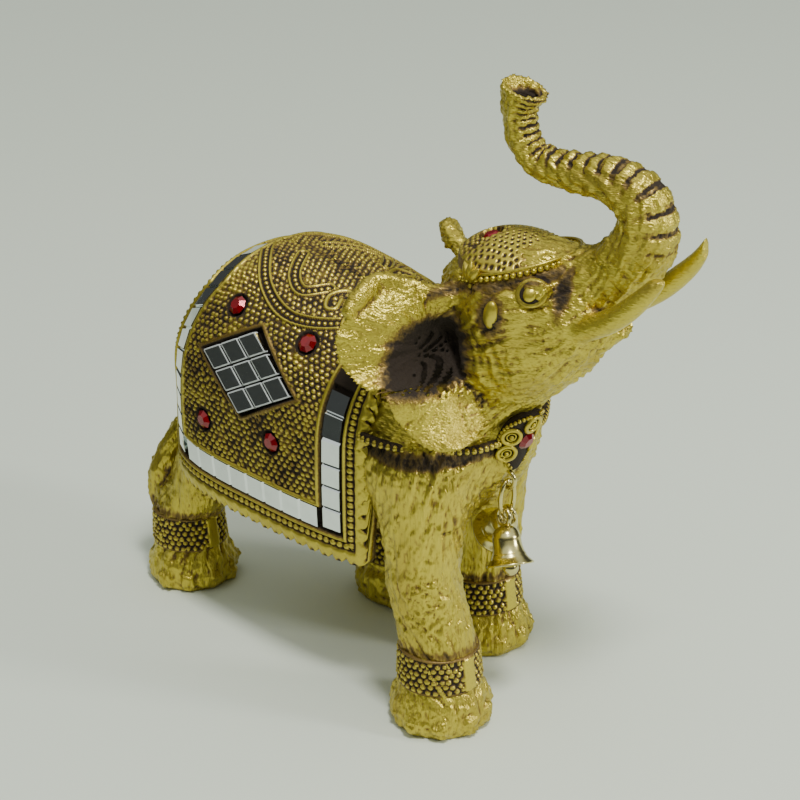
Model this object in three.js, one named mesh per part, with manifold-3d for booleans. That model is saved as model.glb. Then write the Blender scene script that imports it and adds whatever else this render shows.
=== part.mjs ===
// A gilded resin elephant, trunk raised, in a saddle cloth set with mirror tiles and rhinestones.
// Millimetres. +X is the way the body faces, +Y its left, +Z up, the ground at Z 0.
import * as THREE from "three";
import { mergeVertices } from "three/addons/utils/BufferGeometryUtils.js";
import Module from "manifold-3d";

// The figure: its pose and proportions are shares of its own height, in parts of 130 to the height.
const FIGURE_HEIGHT = 130;
const HEIGHT_PARTS = 130;
const HEAD_YAW_DEG = 10;

// The saddle cloth and what is set into it.
const CLOTH_THICKNESS = 2.0;
const MIRROR_TILE = 4.9;
const MIRROR_THICKNESS = 1.0;
const MIRROR_STAND_OUT = 0.15;
const TILE_JOINT = 0.4;
const STRIP_WIDTH = 4.3;
const STRIP_TILE_LENGTH = 5.1;
const JOINT_DEPTH = 0.45;
const SETTING_GAP = 0.3;
const RHINESTONE_DIAMETER = 4.0;
const RHINESTONE_HEIGHT = 1.6;
const RHINESTONE_SEAT_DEPTH = 0.7;

// The metal parts at the chest.
const BELL_RIM_DIAMETER = 9.4;
const BELL_HEIGHT = 7.6;
const BELL_WALL = 0.6;
const BELL_SIDES = 12;
const CLAPPER_DIAMETER = 3.2;
const CLAPPER_HANG = 1.06;
const WIRE_DIAMETER = 0.9;
const EYE_RING_DIAMETER = 3.6;
const LINK_LENGTH = 7.6;
const LINK_WIDTH = 3.9;
const BELL_LOOP_LENGTH = 3.6;
const BELL_LOOP_WIDTH = 3.2;

const GOLD = { color: 0xb8923a, roughness: 0.42, metalness: 0.85 };
const MIRROR = { color: 0xdfe4e6, roughness: 0.06, metalness: 1.0 };
const RED_GLASS = { color: 0xc01622, roughness: 0.12, metalness: 0.1 };
const BRASS = { color: 0xd8c070, roughness: 0.25, metalness: 1.0 };

const part = FIGURE_HEIGHT / HEIGHT_PARTS;
const wasm = await Module();
wasm.setup();

// A point of the figure, given in parts of its height.
function at(x, y, z) {
  return new THREE.Vector3(x, y, z).multiplyScalar(part);
}

function solidOf(geometry) {
  const bare = geometry.index ? geometry.toNonIndexed() : geometry.clone();
  bare.deleteAttribute("normal");
  bare.deleteAttribute("uv");
  const merged = mergeVertices(bare, 1e-4);
  const vertProperties = merged.attributes.position.array;
  const triVerts = new Uint32Array(merged.index.array);
  return new wasm.Manifold(new wasm.Mesh({ numProp: 3, vertProperties, triVerts }));
}

function geometryOf(solid) {
  const mesh = solid.getMesh();
  const geometry = new THREE.BufferGeometry();
  geometry.setAttribute("position", new THREE.BufferAttribute(mesh.vertProperties, 3));
  geometry.setIndex(new THREE.BufferAttribute(mesh.triVerts, 1));
  return geometry;
}

function union(solids) {
  return solids.reduce((whole, next) => whole.add(next));
}

// The casting is solid: pockets shut in between its joined forms are filled.
function withoutPockets(solid) {
  return solid.decompose().reduce((most, body) => (body.volume() > most.volume() ? body : most));
}

// A closed skin of triangles whose faces are turned outwards.
function facingOut(points, faces) {
  const volume = faces.reduce((sum, [a, b, c]) => {
    return sum + points[a].dot(points[b].clone().cross(points[c]));
  }, 0);
  if (volume < 0) faces.forEach((face) => face.reverse());
  const geometry = new THREE.BufferGeometry().setFromPoints(points);
  geometry.setIndex(faces.flat());
  return geometry;
}

// A closed skin over rings of points, each end shut by a fan to the middle of its ring.
function loft(rings) {
  const sides = rings[0].length;
  const points = rings.flat();
  const faces = [];
  for (let i = 0; i + 1 < rings.length; i++) {
    for (let j = 0; j < sides; j++) {
      const a = i * sides + j;
      const b = i * sides + ((j + 1) % sides);
      faces.push([a, b, b + sides], [a, b + sides, a + sides]);
    }
  }
  for (const [ring, first, turned] of [
    [rings[0], 0, true],
    [rings.at(-1), (rings.length - 1) * sides, false],
  ]) {
    const middle = new THREE.Vector3();
    ring.forEach((p) => middle.addScaledVector(p, 1 / sides));
    points.push(middle);
    const centre = points.length - 1;
    for (let j = 0; j < sides; j++) {
      const a = first + j;
      const b = first + ((j + 1) % sides);
      faces.push(turned ? [centre, b, a] : [centre, a, b]);
    }
  }
  return facingOut(points, faces);
}

// Smooth values between the rows of a table, at the share t of the way through it.
function between(rows, t) {
  const place = Math.min(Math.max(t, 0), 1) * (rows.length - 1);
  const i = Math.min(Math.floor(place), rows.length - 2);
  const f = place - i;
  const row = (k) => rows[Math.min(Math.max(k, 0), rows.length - 1)];
  return rows[0].map((_, c) => {
    const [a, b, d, e] = [row(i - 1)[c], row(i)[c], row(i + 1)[c], row(i + 2)[c]];
    return b + 0.5 * f * (d - a + f * (2 * a - 5 * b + 4 * d - e + f * (3 * (b - d) + e - a)));
  });
}

// A limb: rows of [x, y, z, radius across, radius along] in parts of the height, taken through `steps` rings.
// `across` is the direction of the first radius, and shape(angle, t) swells a ring.
function limb(rows, steps, sides, across, shape = () => 1) {
  const rings = [];
  const centre = (t) => new THREE.Vector3(...between(rows, t).slice(0, 3));
  for (let i = 0; i <= steps; i++) {
    const t = i / steps;
    const [, , , wide, deep] = between(rows, t);
    const along = centre(t + 0.5 / steps).sub(centre(t - 0.5 / steps)).normalize();
    const u = across.clone().addScaledVector(along, -across.dot(along)).normalize();
    const v = along.clone().cross(u);
    const ring = [];
    for (let j = 0; j < sides; j++) {
      const angle = (2 * Math.PI * j) / sides;
      const swell = shape(angle, t);
      const p = centre(t);
      p.addScaledVector(u, wide * swell * Math.cos(angle));
      p.addScaledVector(v, deep * swell * Math.sin(angle));
      ring.push(p.multiplyScalar(part));
    }
    rings.push(ring);
  }
  return loft(rings);
}

// An ellipsoid in parts of the height, leaning by `lean` degrees about the axis across the head.
function ball(x, y, z, rx, ry, rz, lean = 0, around = 14, down = 10) {
  const shape = new THREE.SphereGeometry(1, around, down);
  shape.scale(rx * part, ry * part, rz * part);
  shape.rotateY(THREE.MathUtils.degToRad(-lean));
  const place = at(x, y, z);
  return shape.translate(place.x, place.y, place.z);
}

// The head, trunk, tusks and ears are laid out as (forward, left, up) and turned as one about the withers.
const HEAD_PIVOT_X = 2;
const headFrame = new THREE.Matrix4()
  .makeTranslation(HEAD_PIVOT_X * part, 0, 0)
  .multiply(new THREE.Matrix4().makeRotationZ(THREE.MathUtils.degToRad(HEAD_YAW_DEG)));
const headSolid = (geometry) => solidOf(geometry.applyMatrix4(headFrame));

const ACROSS = new THREE.Vector3(0, 1, 0);
const FORWARD = new THREE.Vector3(1, 0, 0);
const UP = new THREE.Vector3(0, 0, 1);

// The barrel: rows of [x, half width, top, bottom] from the rump to the chest.
const BARREL = [
  [-70.8, 5, 56, 42],
  [-69.6, 11.4, 62, 36],
  [-65.6, 17.8, 70, 31.5],
  [-58, 21.4, 76.8, 29],
  [-48.5, 22.8, 79.2, 28.5],
  [-36, 23, 78.2, 28.5],
  [-24, 22.8, 75.8, 29],
  [-13, 21.6, 73.4, 31],
  [-4, 18.6, 71.5, 35.5],
  [3.4, 15.2, 69.5, 41],
  [7.8, 11.2, 67, 47],
  [10.6, 5.5, 62, 52],
];
const BARREL_STEPS = 12;
const BARREL_SIDES = 18;
const BARREL_SQUARENESS = 2.3;

function power(value, exponent) {
  return Math.sign(value) * Math.abs(value) ** exponent;
}

// The row of the barrel's table at a place along the back.
function barrelAt(x) {
  let low = 0;
  let high = 1;
  for (let i = 0; i < 30; i++) {
    const mid = (low + high) / 2;
    if (between(BARREL, mid)[0] < x) low = mid;
    else high = mid;
  }
  return between(BARREL, low);
}

function barrel() {
  const rings = [];
  for (let i = 0; i <= BARREL_STEPS; i++) {
    const [x, half, top, bottom] = between(BARREL, i / BARREL_STEPS);
    const middle = (top + bottom) / 2;
    const ring = [];
    for (let j = 0; j < BARREL_SIDES; j++) {
      const angle = (2 * Math.PI * j) / BARREL_SIDES;
      const y = half * power(Math.sin(angle), 2 / BARREL_SQUARENESS);
      const z = middle + (top - middle) * power(Math.cos(angle), 2 / BARREL_SQUARENESS);
      ring.push(at(x, y, z));
    }
    rings.push(ring);
  }
  return solidOf(loft(rings));
}

// The saddle cloth: place `p` runs from its front edge 0 to its rear edge 1, and `q` from the ridge 0
// down to the hem 1 on the left, or -1 on the right.
const CLOTH_FRONT_X = -8.4;
const CLOTH_REAR_X = -60;
const CLOTH_REAR_BULGE = 7.6;
const CLOTH_BULGE_FROM = 0.25;
const CLOTH_HEM_Z = 32.4;
const CLOTH_DROP_Z = 54;
const CLOTH_SHOULDER_SHARE = 0.6;
const CLOTH_SQUARENESS = 2.35;
const CLOTH_OVER_BARREL = 1.5;

function clothPoint(p, q, sunk = 0) {
  const side = Math.sign(q) || 1;
  const down = Math.abs(q);
  const bulge = CLOTH_REAR_BULGE * Math.sin((Math.PI * Math.max(down - CLOTH_BULGE_FROM, 0)) / (1.2 - CLOTH_BULGE_FROM));
  const rear = CLOTH_REAR_X - bulge;
  const x = CLOTH_FRONT_X + p * (rear - CLOTH_FRONT_X);
  const [, half, top] = barrelAt(x);
  const wide = half + CLOTH_OVER_BARREL - sunk / part;
  const high = top + CLOTH_OVER_BARREL - sunk / part;
  const angle = Math.min(down / CLOTH_SHOULDER_SHARE, 1) * (Math.PI / 2);
  const y = side * wide * power(Math.sin(angle), 2 / CLOTH_SQUARENESS);
  const shoulder = CLOTH_DROP_Z + (high - CLOTH_DROP_Z) * power(Math.cos(angle), 2 / CLOTH_SQUARENESS);
  const below = Math.max(down - CLOTH_SHOULDER_SHARE, 0) / (1 - CLOTH_SHOULDER_SHARE);
  const z = angle < Math.PI / 2 ? shoulder : CLOTH_DROP_Z + below * (CLOTH_HEM_Z - CLOTH_DROP_Z);
  return at(x, y, z);
}

// The cloth's outward direction at a place on it.
function clothNormal(p, q) {
  const step = 0.01;
  const along = clothPoint(p + step, q).sub(clothPoint(p - step, q));
  const down = clothPoint(p, q + step).sub(clothPoint(p, q - step));
  const normal = along.cross(down).normalize();
  const side = Math.sign(q) || 1;
  return normal.y * side < 0 || (normal.z < 0 && Math.abs(q) < 0.3) ? normal.negate() : normal;
}

const CLOTH_STEPS_ALONG = 8;
const CLOTH_STEPS_DOWN = 9;
const BELLY_SPACE_TOP_Z = 48;

// The cloth lies on the back and hangs free of the belly below BELLY_SPACE_TOP_Z.
function cloth() {
  const rings = [];
  for (let i = 0; i <= CLOTH_STEPS_ALONG; i++) {
    const ring = [];
    for (let j = -CLOTH_STEPS_DOWN; j <= CLOTH_STEPS_DOWN; j++) {
      ring.push(clothPoint(i / CLOTH_STEPS_ALONG, j / CLOTH_STEPS_DOWN));
    }
    rings.push(ring);
  }
  const beneath = [-0.05, 0, 0.2, 0.4, 0.6, 0.8, 1, 1.05].map((p) => {
    const [left, right] = [1, -1].map((side) => clothPoint(p, side, CLOTH_THICKNESS));
    const corners = [
      [left, CLOTH_HEM_Z - 5],
      [left, BELLY_SPACE_TOP_Z],
      [right, BELLY_SPACE_TOP_Z],
      [right, CLOTH_HEM_Z - 5],
    ];
    return corners.map(([place, z]) => new THREE.Vector3(place.x, place.y, z * part));
  });
  return solidOf(loft(rings)).subtract(solidOf(loft(beneath)));
}

// A leg: rows as in limb, from the sole up into the body. The foot's ring swells into toenails in front.
const LEG_SIDES = 12;
const LEG_STEPS = 9;
const TOE_COUNT = 4;
const TOE_SWELL = 0.055;
const LEG_PLACES = {
  right_fore: { foot: [6, -14.5], knee: [2.4, -15.4], hip: [-4, -11], hipZ: 63, knuckle: 1 },
  left_fore: { foot: [-8.8, 13.4], knee: [-8.6, 14], hip: [-7, 11], hipZ: 63, knuckle: 1 },
  right_hind: { foot: [-71.6, -12.6], knee: [-66, -11.5], hip: [-50, -8], hipZ: 55, knuckle: 0.95 },
  left_hind: { foot: [-34.5, 15.6], knee: [-36, 14.6], hip: [-47, 10], hipZ: 55, knuckle: 1.04 },
};

// Toenails: a swelling of the foot's front half that repeats TOE_COUNT times and fades upwards.
function toes(angle, t) {
  const low = Math.max(1 - t * 9, 0);
  const front = Math.max(Math.cos(angle - Math.PI / 2), 0);
  return 1 + TOE_SWELL * low * front * Math.cos(2 * TOE_COUNT * (angle - Math.PI / 2));
}

function leg({ foot, knee, hip, hipZ, knuckle }) {
  const [fx, fy] = foot;
  const [kx, ky] = knee;
  const [hx, hy] = hip;
  const mix = (share) => [kx + share * (hx - kx), ky + share * (hy - ky)];
  const row = (x, y, z, r) => [x, y, z, r * knuckle, r * knuckle];
  const rows = [
    row(fx, fy, 0, 9.0),
    row(fx, fy, 2.6, 9.9),
    row(fx, fy, 6, 9.3),
    row(fx - 0.2, fy, 9.6, 7.9),
    row(fx - 0.6, fy, 16.5, 7.4),
    row((fx + kx) / 2, (fy + ky) / 2, 22, 7.1),
    row(kx, ky, 29, 7.1),
    row(...mix(0.15), 36, 7.6),
    row(...mix(0.35), 44, 8.8),
    row(...mix(0.65), 53, 10.2),
    row(hx, hy, hipZ, 6.5),
  ];
  return solidOf(limb(rows, LEG_STEPS, LEG_SIDES, ACROSS, toes));
}

// An anklet: a band of bead rows round the leg above the foot, as a turned ring with a wavy outline.
const ANKLET_Z = [9.2, 16.6];
const ANKLET_ROWS = 2;
const ANKLET_STAND_OUT = 1.1;

function anklet({ foot, knuckle }) {
  const [low, high] = ANKLET_Z;
  const inner = 6;
  const outline = [new THREE.Vector2(inner, low)];
  const rowHeight = (high - low) / ANKLET_ROWS;
  for (let i = 0; i < ANKLET_ROWS; i++) {
    const z = low + i * rowHeight;
    const out = 8 * knuckle;
    outline.push(new THREE.Vector2(out, z));
    outline.push(new THREE.Vector2(out + ANKLET_STAND_OUT, z + 0.5 * rowHeight));
  }
  outline.push(new THREE.Vector2(8 * knuckle, high));
  outline.push(new THREE.Vector2(inner, high), outline[0].clone());
  const ring = new THREE.LatheGeometry(outline, LEG_SIDES);
  ring.rotateX(Math.PI / 2).scale(part, part, part);
  const place = at(foot[0] - 0.2, foot[1], 0);
  return solidOf(ring.translate(place.x, place.y, place.z));
}

// The trunk's middle line, [forward, 0, up, half width, half depth], root to tip.
const TRUNK = [
  [12, 0, 88, 9.5, 10],
  [17, 0, 90.5, 8.2, 8.4],
  [22, 0, 92.2, 6.8, 7],
  [27.5, 0, 95.4, 6.2, 6.3],
  [32, 0, 99.8, 6, 6.1],
  [34.4, 0, 105, 5.8, 5.8],
  [33.4, 0, 110.3, 5.2, 5.2],
  [28.8, 0, 113.3, 4.5, 4.5],
  [22.8, 0, 113.7, 3.8, 3.8],
  [16.8, 0, 113.5, 3.4, 3.4],
  [11.8, 0, 114.2, 3.2, 3.2],
  [8.6, 0, 117.4, 3.2, 3.2],
  [7.4, 0, 121.4, 3.3, 3.2],
  [7.6, 0, 124.6, 3.7, 3.6],
  [8.4, 0, 127.2, 4.3, 4.6],
];
const TRUNK_STEPS = 28;
const TRUNK_SIDES = 10;
const TRUNK_RIBS = 14;
const RIB_DEPTH = 0.035;
const NOSTRIL_DEPTH = 4;

function trunk() {
  const ribs = (angle, t) => 1 + RIB_DEPTH * (t > 0.15 && t < 0.95 ? 1 : 0) * Math.cos(t * TRUNK_RIBS * 2 * Math.PI);
  return headSolid(limb(TRUNK, TRUNK_STEPS, TRUNK_SIDES, ACROSS, ribs));
}

// The hollow at the trunk's tip, a cone that narrows downwards.
function nostril() {
  const [x, , z, wide, deep] = TRUNK.at(-1);
  const rows = [
    [x - 0.2, 0, z - NOSTRIL_DEPTH, wide * 0.2, deep * 0.2],
    [x, 0, z - 1.4, wide * 0.55, deep * 0.55],
    [x + 0.1, 0, z + 0.6, wide * 0.82, deep * 0.82],
  ];
  return headSolid(limb(rows, 4, TRUNK_SIDES, ACROSS));
}

const TUSK = [
  [22, 6.4, 85.2, 2.4, 2.4],
  [28.2, 7.2, 88.2, 2.4, 2.4],
  [33.5, 8, 91.6, 2.2, 2.2],
  [38, 8.2, 96, 1.9, 1.9],
  [41.2, 7.8, 100.2, 1.3, 1.3],
  [43.2, 7.2, 104.6, 0.45, 0.45],
];

function tusk(side) {
  const rows = TUSK.map(([x, y, z, a, b]) => [x, side * y, z, a, b]);
  return headSolid(limb(rows, 8, 8, ACROSS));
}

// The head: skull, brow, cheeks, lower jaw and throat, joined.
function head() {
  const skull = ball(8.5, 0, 86.6, 16, 12.2, 11.6, 4, 12, 8);
  const jaw = limb(
    [
      [4, 0, 76, 12, 10],
      [11, 0, 78.5, 12.2, 10.4],
      [18, 0, 82.2, 10.6, 9],
      [24, 0, 84.6, 7.6, 6],
      [28.6, 0, 85.2, 4.2, 3],
      [31.4, 0, 85.6, 1.6, 1],
    ],
    6,
    10,
    ACROSS,
  );
  const face = limb(
    [
      [8, 0, 86, 12.4, 11],
      [15, 0, 88.4, 11.2, 10.4],
      [21, 0, 90.2, 8.6, 8.8],
      [26, 0, 92.4, 6.4, 7],
    ],
    3,
    10,
    ACROSS,
  );
  const cheeks = [-1, 1].map((side) => ball(19, side * 5.2, 85.8, 9, 5, 6.4, 24, 8, 6));
  const eyes = [-1, 1].flatMap((side) => [
    ball(16.6, side * 9.2, 92.8, 3.9, 1.9, 2.5, 16, 8, 5),
    ball(17.2, side * 10.5, 93, 1.3, 1.3, 1.1, 16, 6, 4),
  ]);
  return union([skull, jaw, face, ...cheeks, ...eyes].map(headSolid));
}

function neck() {
  const rows = [
    [-16, 0, 60, 14, 15.5],
    [-8, 0.2, 65, 13, 16],
    [0, 0.8, 70.5, 12, 15],
    [7, 1.6, 76.5, 11.4, 12.8],
    [11, 2.2, 83, 10.4, 10.6],
  ];
  return solidOf(limb(rows, 5, 12, ACROSS));
}

// An ear: a sheet from the line where it joins the head, `root`, to its free edge, `rim`, both listed from
// top to bottom as (forward, left, up), bowed outwards between them and thick throughout.
const EAR_ROOT = [
  [0.5, 9, 88.2],
  [1.5, 10.6, 85.8],
  [2.6, 11.4, 82],
  [3.4, 11.6, 78],
  [4.6, 11.8, 74],
  [6, 12, 70],
  [7.6, 12, 66],
  [9.2, 12, 63],
];
const EAR_RIM = [
  [-11.4, 17, 91.4],
  [-12.4, 21.5, 90],
  [-13.2, 25.6, 86.4],
  [-14, 27.5, 82.4],
  [-12.2, 28.5, 77],
  [-7.5, 28.5, 74.4],
  [-2.9, 27.5, 73],
  [-1.7, 26, 67.8],
  [3.2, 23, 63.2],
  [7.6, 19, 62.1],
];
// The rolled upper edge, as [forward, left, up, radius].
const EAR_FOLD = [
  [2, 8, 88, 2.2],
  [-4.4, 12.6, 88.6, 2],
  [-10.8, 17, 91, 1.8],
  [-12.2, 21.5, 90, 1.6],
  [-13, 25.4, 86.6, 1.2],
];
const EAR_THICKNESS = 2.6;
const EAR_BACK_SHIFT = 0.3;
const EAR_STEPS_OUT = 6;
const EAR_STEPS_DOWN = 10;
const EAR_BOW = 2.6;
// The hollow by the ear's root: the sheet dips there, and the neck behind it is cut away to let it.
const PIT = { out: 0.26, down: 0.42, outSpread: 0.22, downSpread: 0.2, depth: 9 };
const EAR_HOLLOW = { x: -2, y: 16, z: 79.4, rx: 7.6, ry: 9.5, rz: 6.4, lean: -38 };

// The left ear is held a little further back and closer to the head.
const NEAR_EAR = { shift: [0, 0], spread: 1 };
const FAR_EAR = { shift: [-6.6, -1.6], spread: 0.84 };

function ear(side, { shift, spread }) {
    const front = [];
  const back = [];
  for (let j = 0; j <= EAR_STEPS_DOWN; j++) {
    const v = j / EAR_STEPS_DOWN;
    const root = between(EAR_ROOT, v);
    const rim = between(EAR_RIM, v);
    rim[1] *= spread;
    const outer = [];
    const inner = [];
    for (let i = 0; i <= EAR_STEPS_OUT; i++) {
      const u = i / EAR_STEPS_OUT;
      const far = ((u - PIT.out) / PIT.outSpread) ** 2 + ((v - PIT.down) / PIT.downSpread) ** 2;
      const bow = EAR_BOW * Math.sin(Math.PI * u) * (0.4 + 0.6 * v) - PIT.depth * Math.exp(-far);
      const [x, y, z] = root.map((value, k) => value + u * (rim[k] - value));
      const thin = EAR_THICKNESS * (1 - 0.35 * u);
      outer.push(at(x + shift[0], side * (y + bow), z + shift[1]));
      inner.push(at(x + shift[0] + EAR_BACK_SHIFT, side * (y + bow - thin), z + shift[1]));
    }
    front.push(outer);
    back.push(inner.reverse());
  }
  const rings = front.map((outer, j) => [...outer, ...back[j]]);
  const fold = EAR_FOLD.map(([x, y, z, r], k) => {
    const out = k ? spread : 1;
    return [x + shift[0], side * y * out, z + shift[1], r, r];
  });
  return headSolid(loft(rings)).add(headSolid(limb(fold, 6, 7, ACROSS)));
}

function earHollow(side, { shift }) {
  const { x, y, z, rx, ry, rz, lean } = EAR_HOLLOW;
  return headSolid(ball(x + shift[0], side * y, z + shift[1], rx, ry, rz, lean, 10, 7));
}

// The skull cap: a dome a little over the skull, cut by a plane that rises forwards, with a round rim.
const CAP_MIDDLE = [8, 0, 88.4];
const CAP_RADII = [14.2, 12, 11.2];
const CAP_EDGE_Z = 93.8;
const CAP_SLOPE_DEG = -18;
const CAP_RIM_RADIUS = 0.95;

function cap() {
  const dome = headSolid(ball(...CAP_MIDDLE, ...CAP_RADII, 2, 14, 10));
  const share = (CAP_EDGE_Z - CAP_MIDDLE[2]) / CAP_RADII[2];
  const [long, wide] = CAP_RADII.map((radius) => radius * Math.sqrt(1 - share * share));
  const slope = THREE.MathUtils.degToRad(CAP_SLOPE_DEG);
  const below = new THREE.BoxGeometry(4 * long, 4 * wide, 30).translate(0, 0, -15);
  const rim = new THREE.TorusGeometry(1, CAP_RIM_RADIUS / long, 4, 16);
  rim.scale(long, wide, long);
  for (const shape of [below, rim]) {
    shape.rotateY(slope).translate(CAP_MIDDLE[0], 0, CAP_EDGE_Z).scale(part, part, part);
  }
  const drops = [-1, 1].map((side) => headSolid(ball(10.4, side * 12.4, 88.4, 2.1, 1.2, 2.9, -8, 7, 5)));
  return [dome.subtract(headSolid(below)), headSolid(rim), ...drops];
}

// The necklace's strap on one side: a thin round band from the cloth's front edge to the medallion.
const STRAP = [
  [-8, 22.2, 59.6],
  [-3, 21.2, 59.3],
  [2, 18.2, 58.8],
  [6.4, 13.4, 58.4],
  [9.8, 8.6, 58.4],
  [11.2, 5, 59],
];
const STRAP_RADIUS = 1.1;

function strap(side) {
  const rows = STRAP.map(([x, y, z]) => [x, side * y, z, STRAP_RADIUS, STRAP_RADIUS]);
  return solidOf(limb(rows, 8, 5, UP));
}

// The chest medallion: a drop-shaped plate bent round the chest, with ring rosettes about a stone.
const MEDALLION_PLACE = [14, 0, 58.6];
const MEDALLION_LEAN_DEG = 20;
const MEDALLION_BEND_RADIUS = 6.5;
const MEDALLION_THICKNESS = 2.6;
const MEDALLION_ROWS = [
  [-7.6, 0.8],
  [-5, 3.2],
  [-2.4, 5.4],
  [0.6, 6.4],
  [3.4, 5.8],
  [5.4, 3.8],
  [6.4, 1.4],
];
const MEDALLION_ARC_STEPS = 4;
const ROSETTE_RADIUS = 1.8;
const ROSETTE_WIRE_RADIUS = 0.5;
const ROSETTES = [
  [0, 4.2],
  [-3.9, 1.6],
  [3.9, 1.6],
  [-3.7, -2.6],
  [3.7, -2.6],
];

const medallionFrame = new THREE.Matrix4()
  .makeTranslation(at(...MEDALLION_PLACE))
  .multiply(new THREE.Matrix4().makeRotationY(THREE.MathUtils.degToRad(MEDALLION_LEAN_DEG)));

// A point of the medallion: `across` it along its bend, `up` it, and `out` from its face.
function onMedallion(across, up, out) {
  const angle = across / MEDALLION_BEND_RADIUS;
  const radius = MEDALLION_BEND_RADIUS + out;
  return at(radius * Math.cos(angle) - MEDALLION_BEND_RADIUS, radius * Math.sin(angle), up);
}

function medallion() {
  const rings = MEDALLION_ROWS.map(([up, half]) => {
    const ring = [];
    for (const [turn, out] of [
      [1, 0],
      [-1, -MEDALLION_THICKNESS],
    ]) {
      for (let i = 0; i <= MEDALLION_ARC_STEPS; i++) {
        ring.push(onMedallion(turn * half * ((2 * i) / MEDALLION_ARC_STEPS - 1), up, out));
      }
    }
    return ring;
  });
  const rosettes = ROSETTES.map(([across, up]) => {
    const rosette = new THREE.TorusGeometry(ROSETTE_RADIUS, ROSETTE_WIRE_RADIUS, 3, 8);
    rosette.scale(part, part, part).rotateY(Math.PI / 2).rotateZ(across / MEDALLION_BEND_RADIUS);
    const place = onMedallion(across, up, 0.1);
    return rosette.translate(place.x, place.y, place.z);
  });
  const backing = ball(-3.6, 0, -1.4, 3.4, 5.4, 5.6, 0, 8, 6);
  return union([loft(rings), backing, ...rosettes].map((shape) => solidOf(shape.applyMatrix4(medallionFrame))));
}

function tail() {
  const rows = [
    [-65, -1, 62.5, 3.2, 3.2],
    [-69.8, -2.4, 56, 2.4, 2.4],
    [-72, -6, 46, 1.9, 1.9],
    [-74.4, -10.8, 36, 1.9, 1.9],
    [-76.8, -14.4, 28, 2.5, 2.2],
    [-77.8, -15.8, 21, 2.7, 2.2],
    [-77, -16.4, 14.6, 0.6, 0.6],
  ];
  return solidOf(limb(rows, 9, 7, FORWARD));
}

// Mirror strips: a band of tiles along a route on the cloth, from its groove or tile profile.
// A route is a function from a share 0..1 to [p, q, dp, dq], its place and its crosswise direction.
function bandAcross(route, t, side) {
  const [p, q, dp, dq] = route(t);
  const middle = clothPoint(p, side * q);
  const crosswise = clothPoint(p + dp * 0.02, side * (q + dq * 0.02)).sub(middle).normalize();
  const normal = clothNormal(p, side * q);
  return { middle, crosswise, normal };
}

function bandRing({ middle, crosswise, normal }, half, low, high) {
  return [
    [-half, low],
    [half, low],
    [half, high],
    [-half, high],
  ].map(([c, h]) => middle.clone().addScaledVector(crosswise, c).addScaledVector(normal, h));
}

function routeLength(route, side) {
  let length = 0;
  for (let i = 0; i < 40; i++) {
    length += bandAcross(route, i / 40, side).middle.distanceTo(bandAcross(route, (i + 1) / 40, side).middle);
  }
  return length;
}

function tilesAlong(route, side) {
  return Math.max(Math.round(routeLength(route, side) / STRIP_TILE_LENGTH), 2);
}

const STRIP_FLOOR = MIRROR_STAND_OUT - MIRROR_THICKNESS;

function mirrorStrip(route, side) {
  const tiles = tilesAlong(route, side);
  const rings = [];
  const share = TILE_JOINT / routeLength(route, side);
  for (let i = 0; i < tiles; i++) {
    const start = i / tiles;
    const end = (i + 1) / tiles;
    const high = MIRROR_STAND_OUT;
    rings.push(bandRing(bandAcross(route, start + share, side), STRIP_WIDTH / 2, STRIP_FLOOR, high));
    rings.push(bandRing(bandAcross(route, end - share, side), STRIP_WIDTH / 2, STRIP_FLOOR, high));
    if (i + 1 < tiles) {
      const joint = bandAcross(route, end, side);
      rings.push(bandRing(joint, STRIP_WIDTH / 2, STRIP_FLOOR, MIRROR_STAND_OUT - JOINT_DEPTH));
    }
  }
  return solidOf(loft(rings));
}

function stripChannel(route, side) {
  const steps = tilesAlong(route, side);
  const rings = [];
  for (let i = 0; i <= steps; i++) {
    const t = i / steps;
    const half = STRIP_WIDTH / 2 + SETTING_GAP;
    rings.push(bandRing(bandAcross(route, t, side), half, STRIP_FLOOR - SETTING_GAP, 3));
  }
  return solidOf(loft(rings));
}

// The hem: a raised band along the front and lower edges, wavy on its outer side.
const SCALLOP_PITCH = 3.6;
const HEM_HALF_WIDTH = 1.1;
const SCALLOP_DEPTH = 0.9;
const HEM_STAND_OUT = 0.5;

function hem(side) {
  const route = (t) => {
    const turn = 0.55;
    return t < turn ? [1 - t / turn, 1, 0, 1] : [0, 1 - (0.62 * (t - turn)) / (1 - turn), -1, 0];
  };
  const count = Math.round(routeLength(route, side) / SCALLOP_PITCH);
  const rings = [];
  for (let i = 0; i <= 2 * count; i++) {
    const place = bandAcross(route, i / (2 * count), side);
    const ring = bandRing(place, HEM_HALF_WIDTH, -CLOTH_THICKNESS * 0.8, HEM_STAND_OUT);
    const out = i % 2 ? SCALLOP_DEPTH : 0;
    ring[1].addScaledVector(place.crosswise, out);
    ring[2].addScaledVector(place.crosswise, out);
    rings.push(ring);
  }
  return solidOf(loft(rings));
}

const BORDER_INSET_P = 0.115;
const BORDER_REAR_P = 0.93;
const BORDER_LOW_Q = 0.885;
const BORDER_TURN_GAP_P = 0.055;
const BORDER_TOP_Q = 0.03;
const FRONT_TOP_Q = 0.36;
const ROUTES = {
  rear: (t) => [BORDER_REAR_P, BORDER_TOP_Q + t * (BORDER_LOW_Q + 0.035 - BORDER_TOP_Q), 1, 0],
  lower: (t) => [
    BORDER_REAR_P - BORDER_TURN_GAP_P - t * (BORDER_REAR_P - BORDER_INSET_P - 2 * BORDER_TURN_GAP_P),
    BORDER_LOW_Q,
    0,
    1,
  ],
  front: (t) => [BORDER_INSET_P, BORDER_LOW_Q + 0.035 - t * (BORDER_LOW_Q - FRONT_TOP_Q), 1, 0],
};

// The diamond of nine mirror tiles: a flat frame set on the cloth, its sides along two slanting directions.
const DIAMOND_PLACE = [0.535, 0.49];
const DIAMOND_SLOPES_DEG = [30, -38];
const DIAMOND_TILES = 3;

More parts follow.
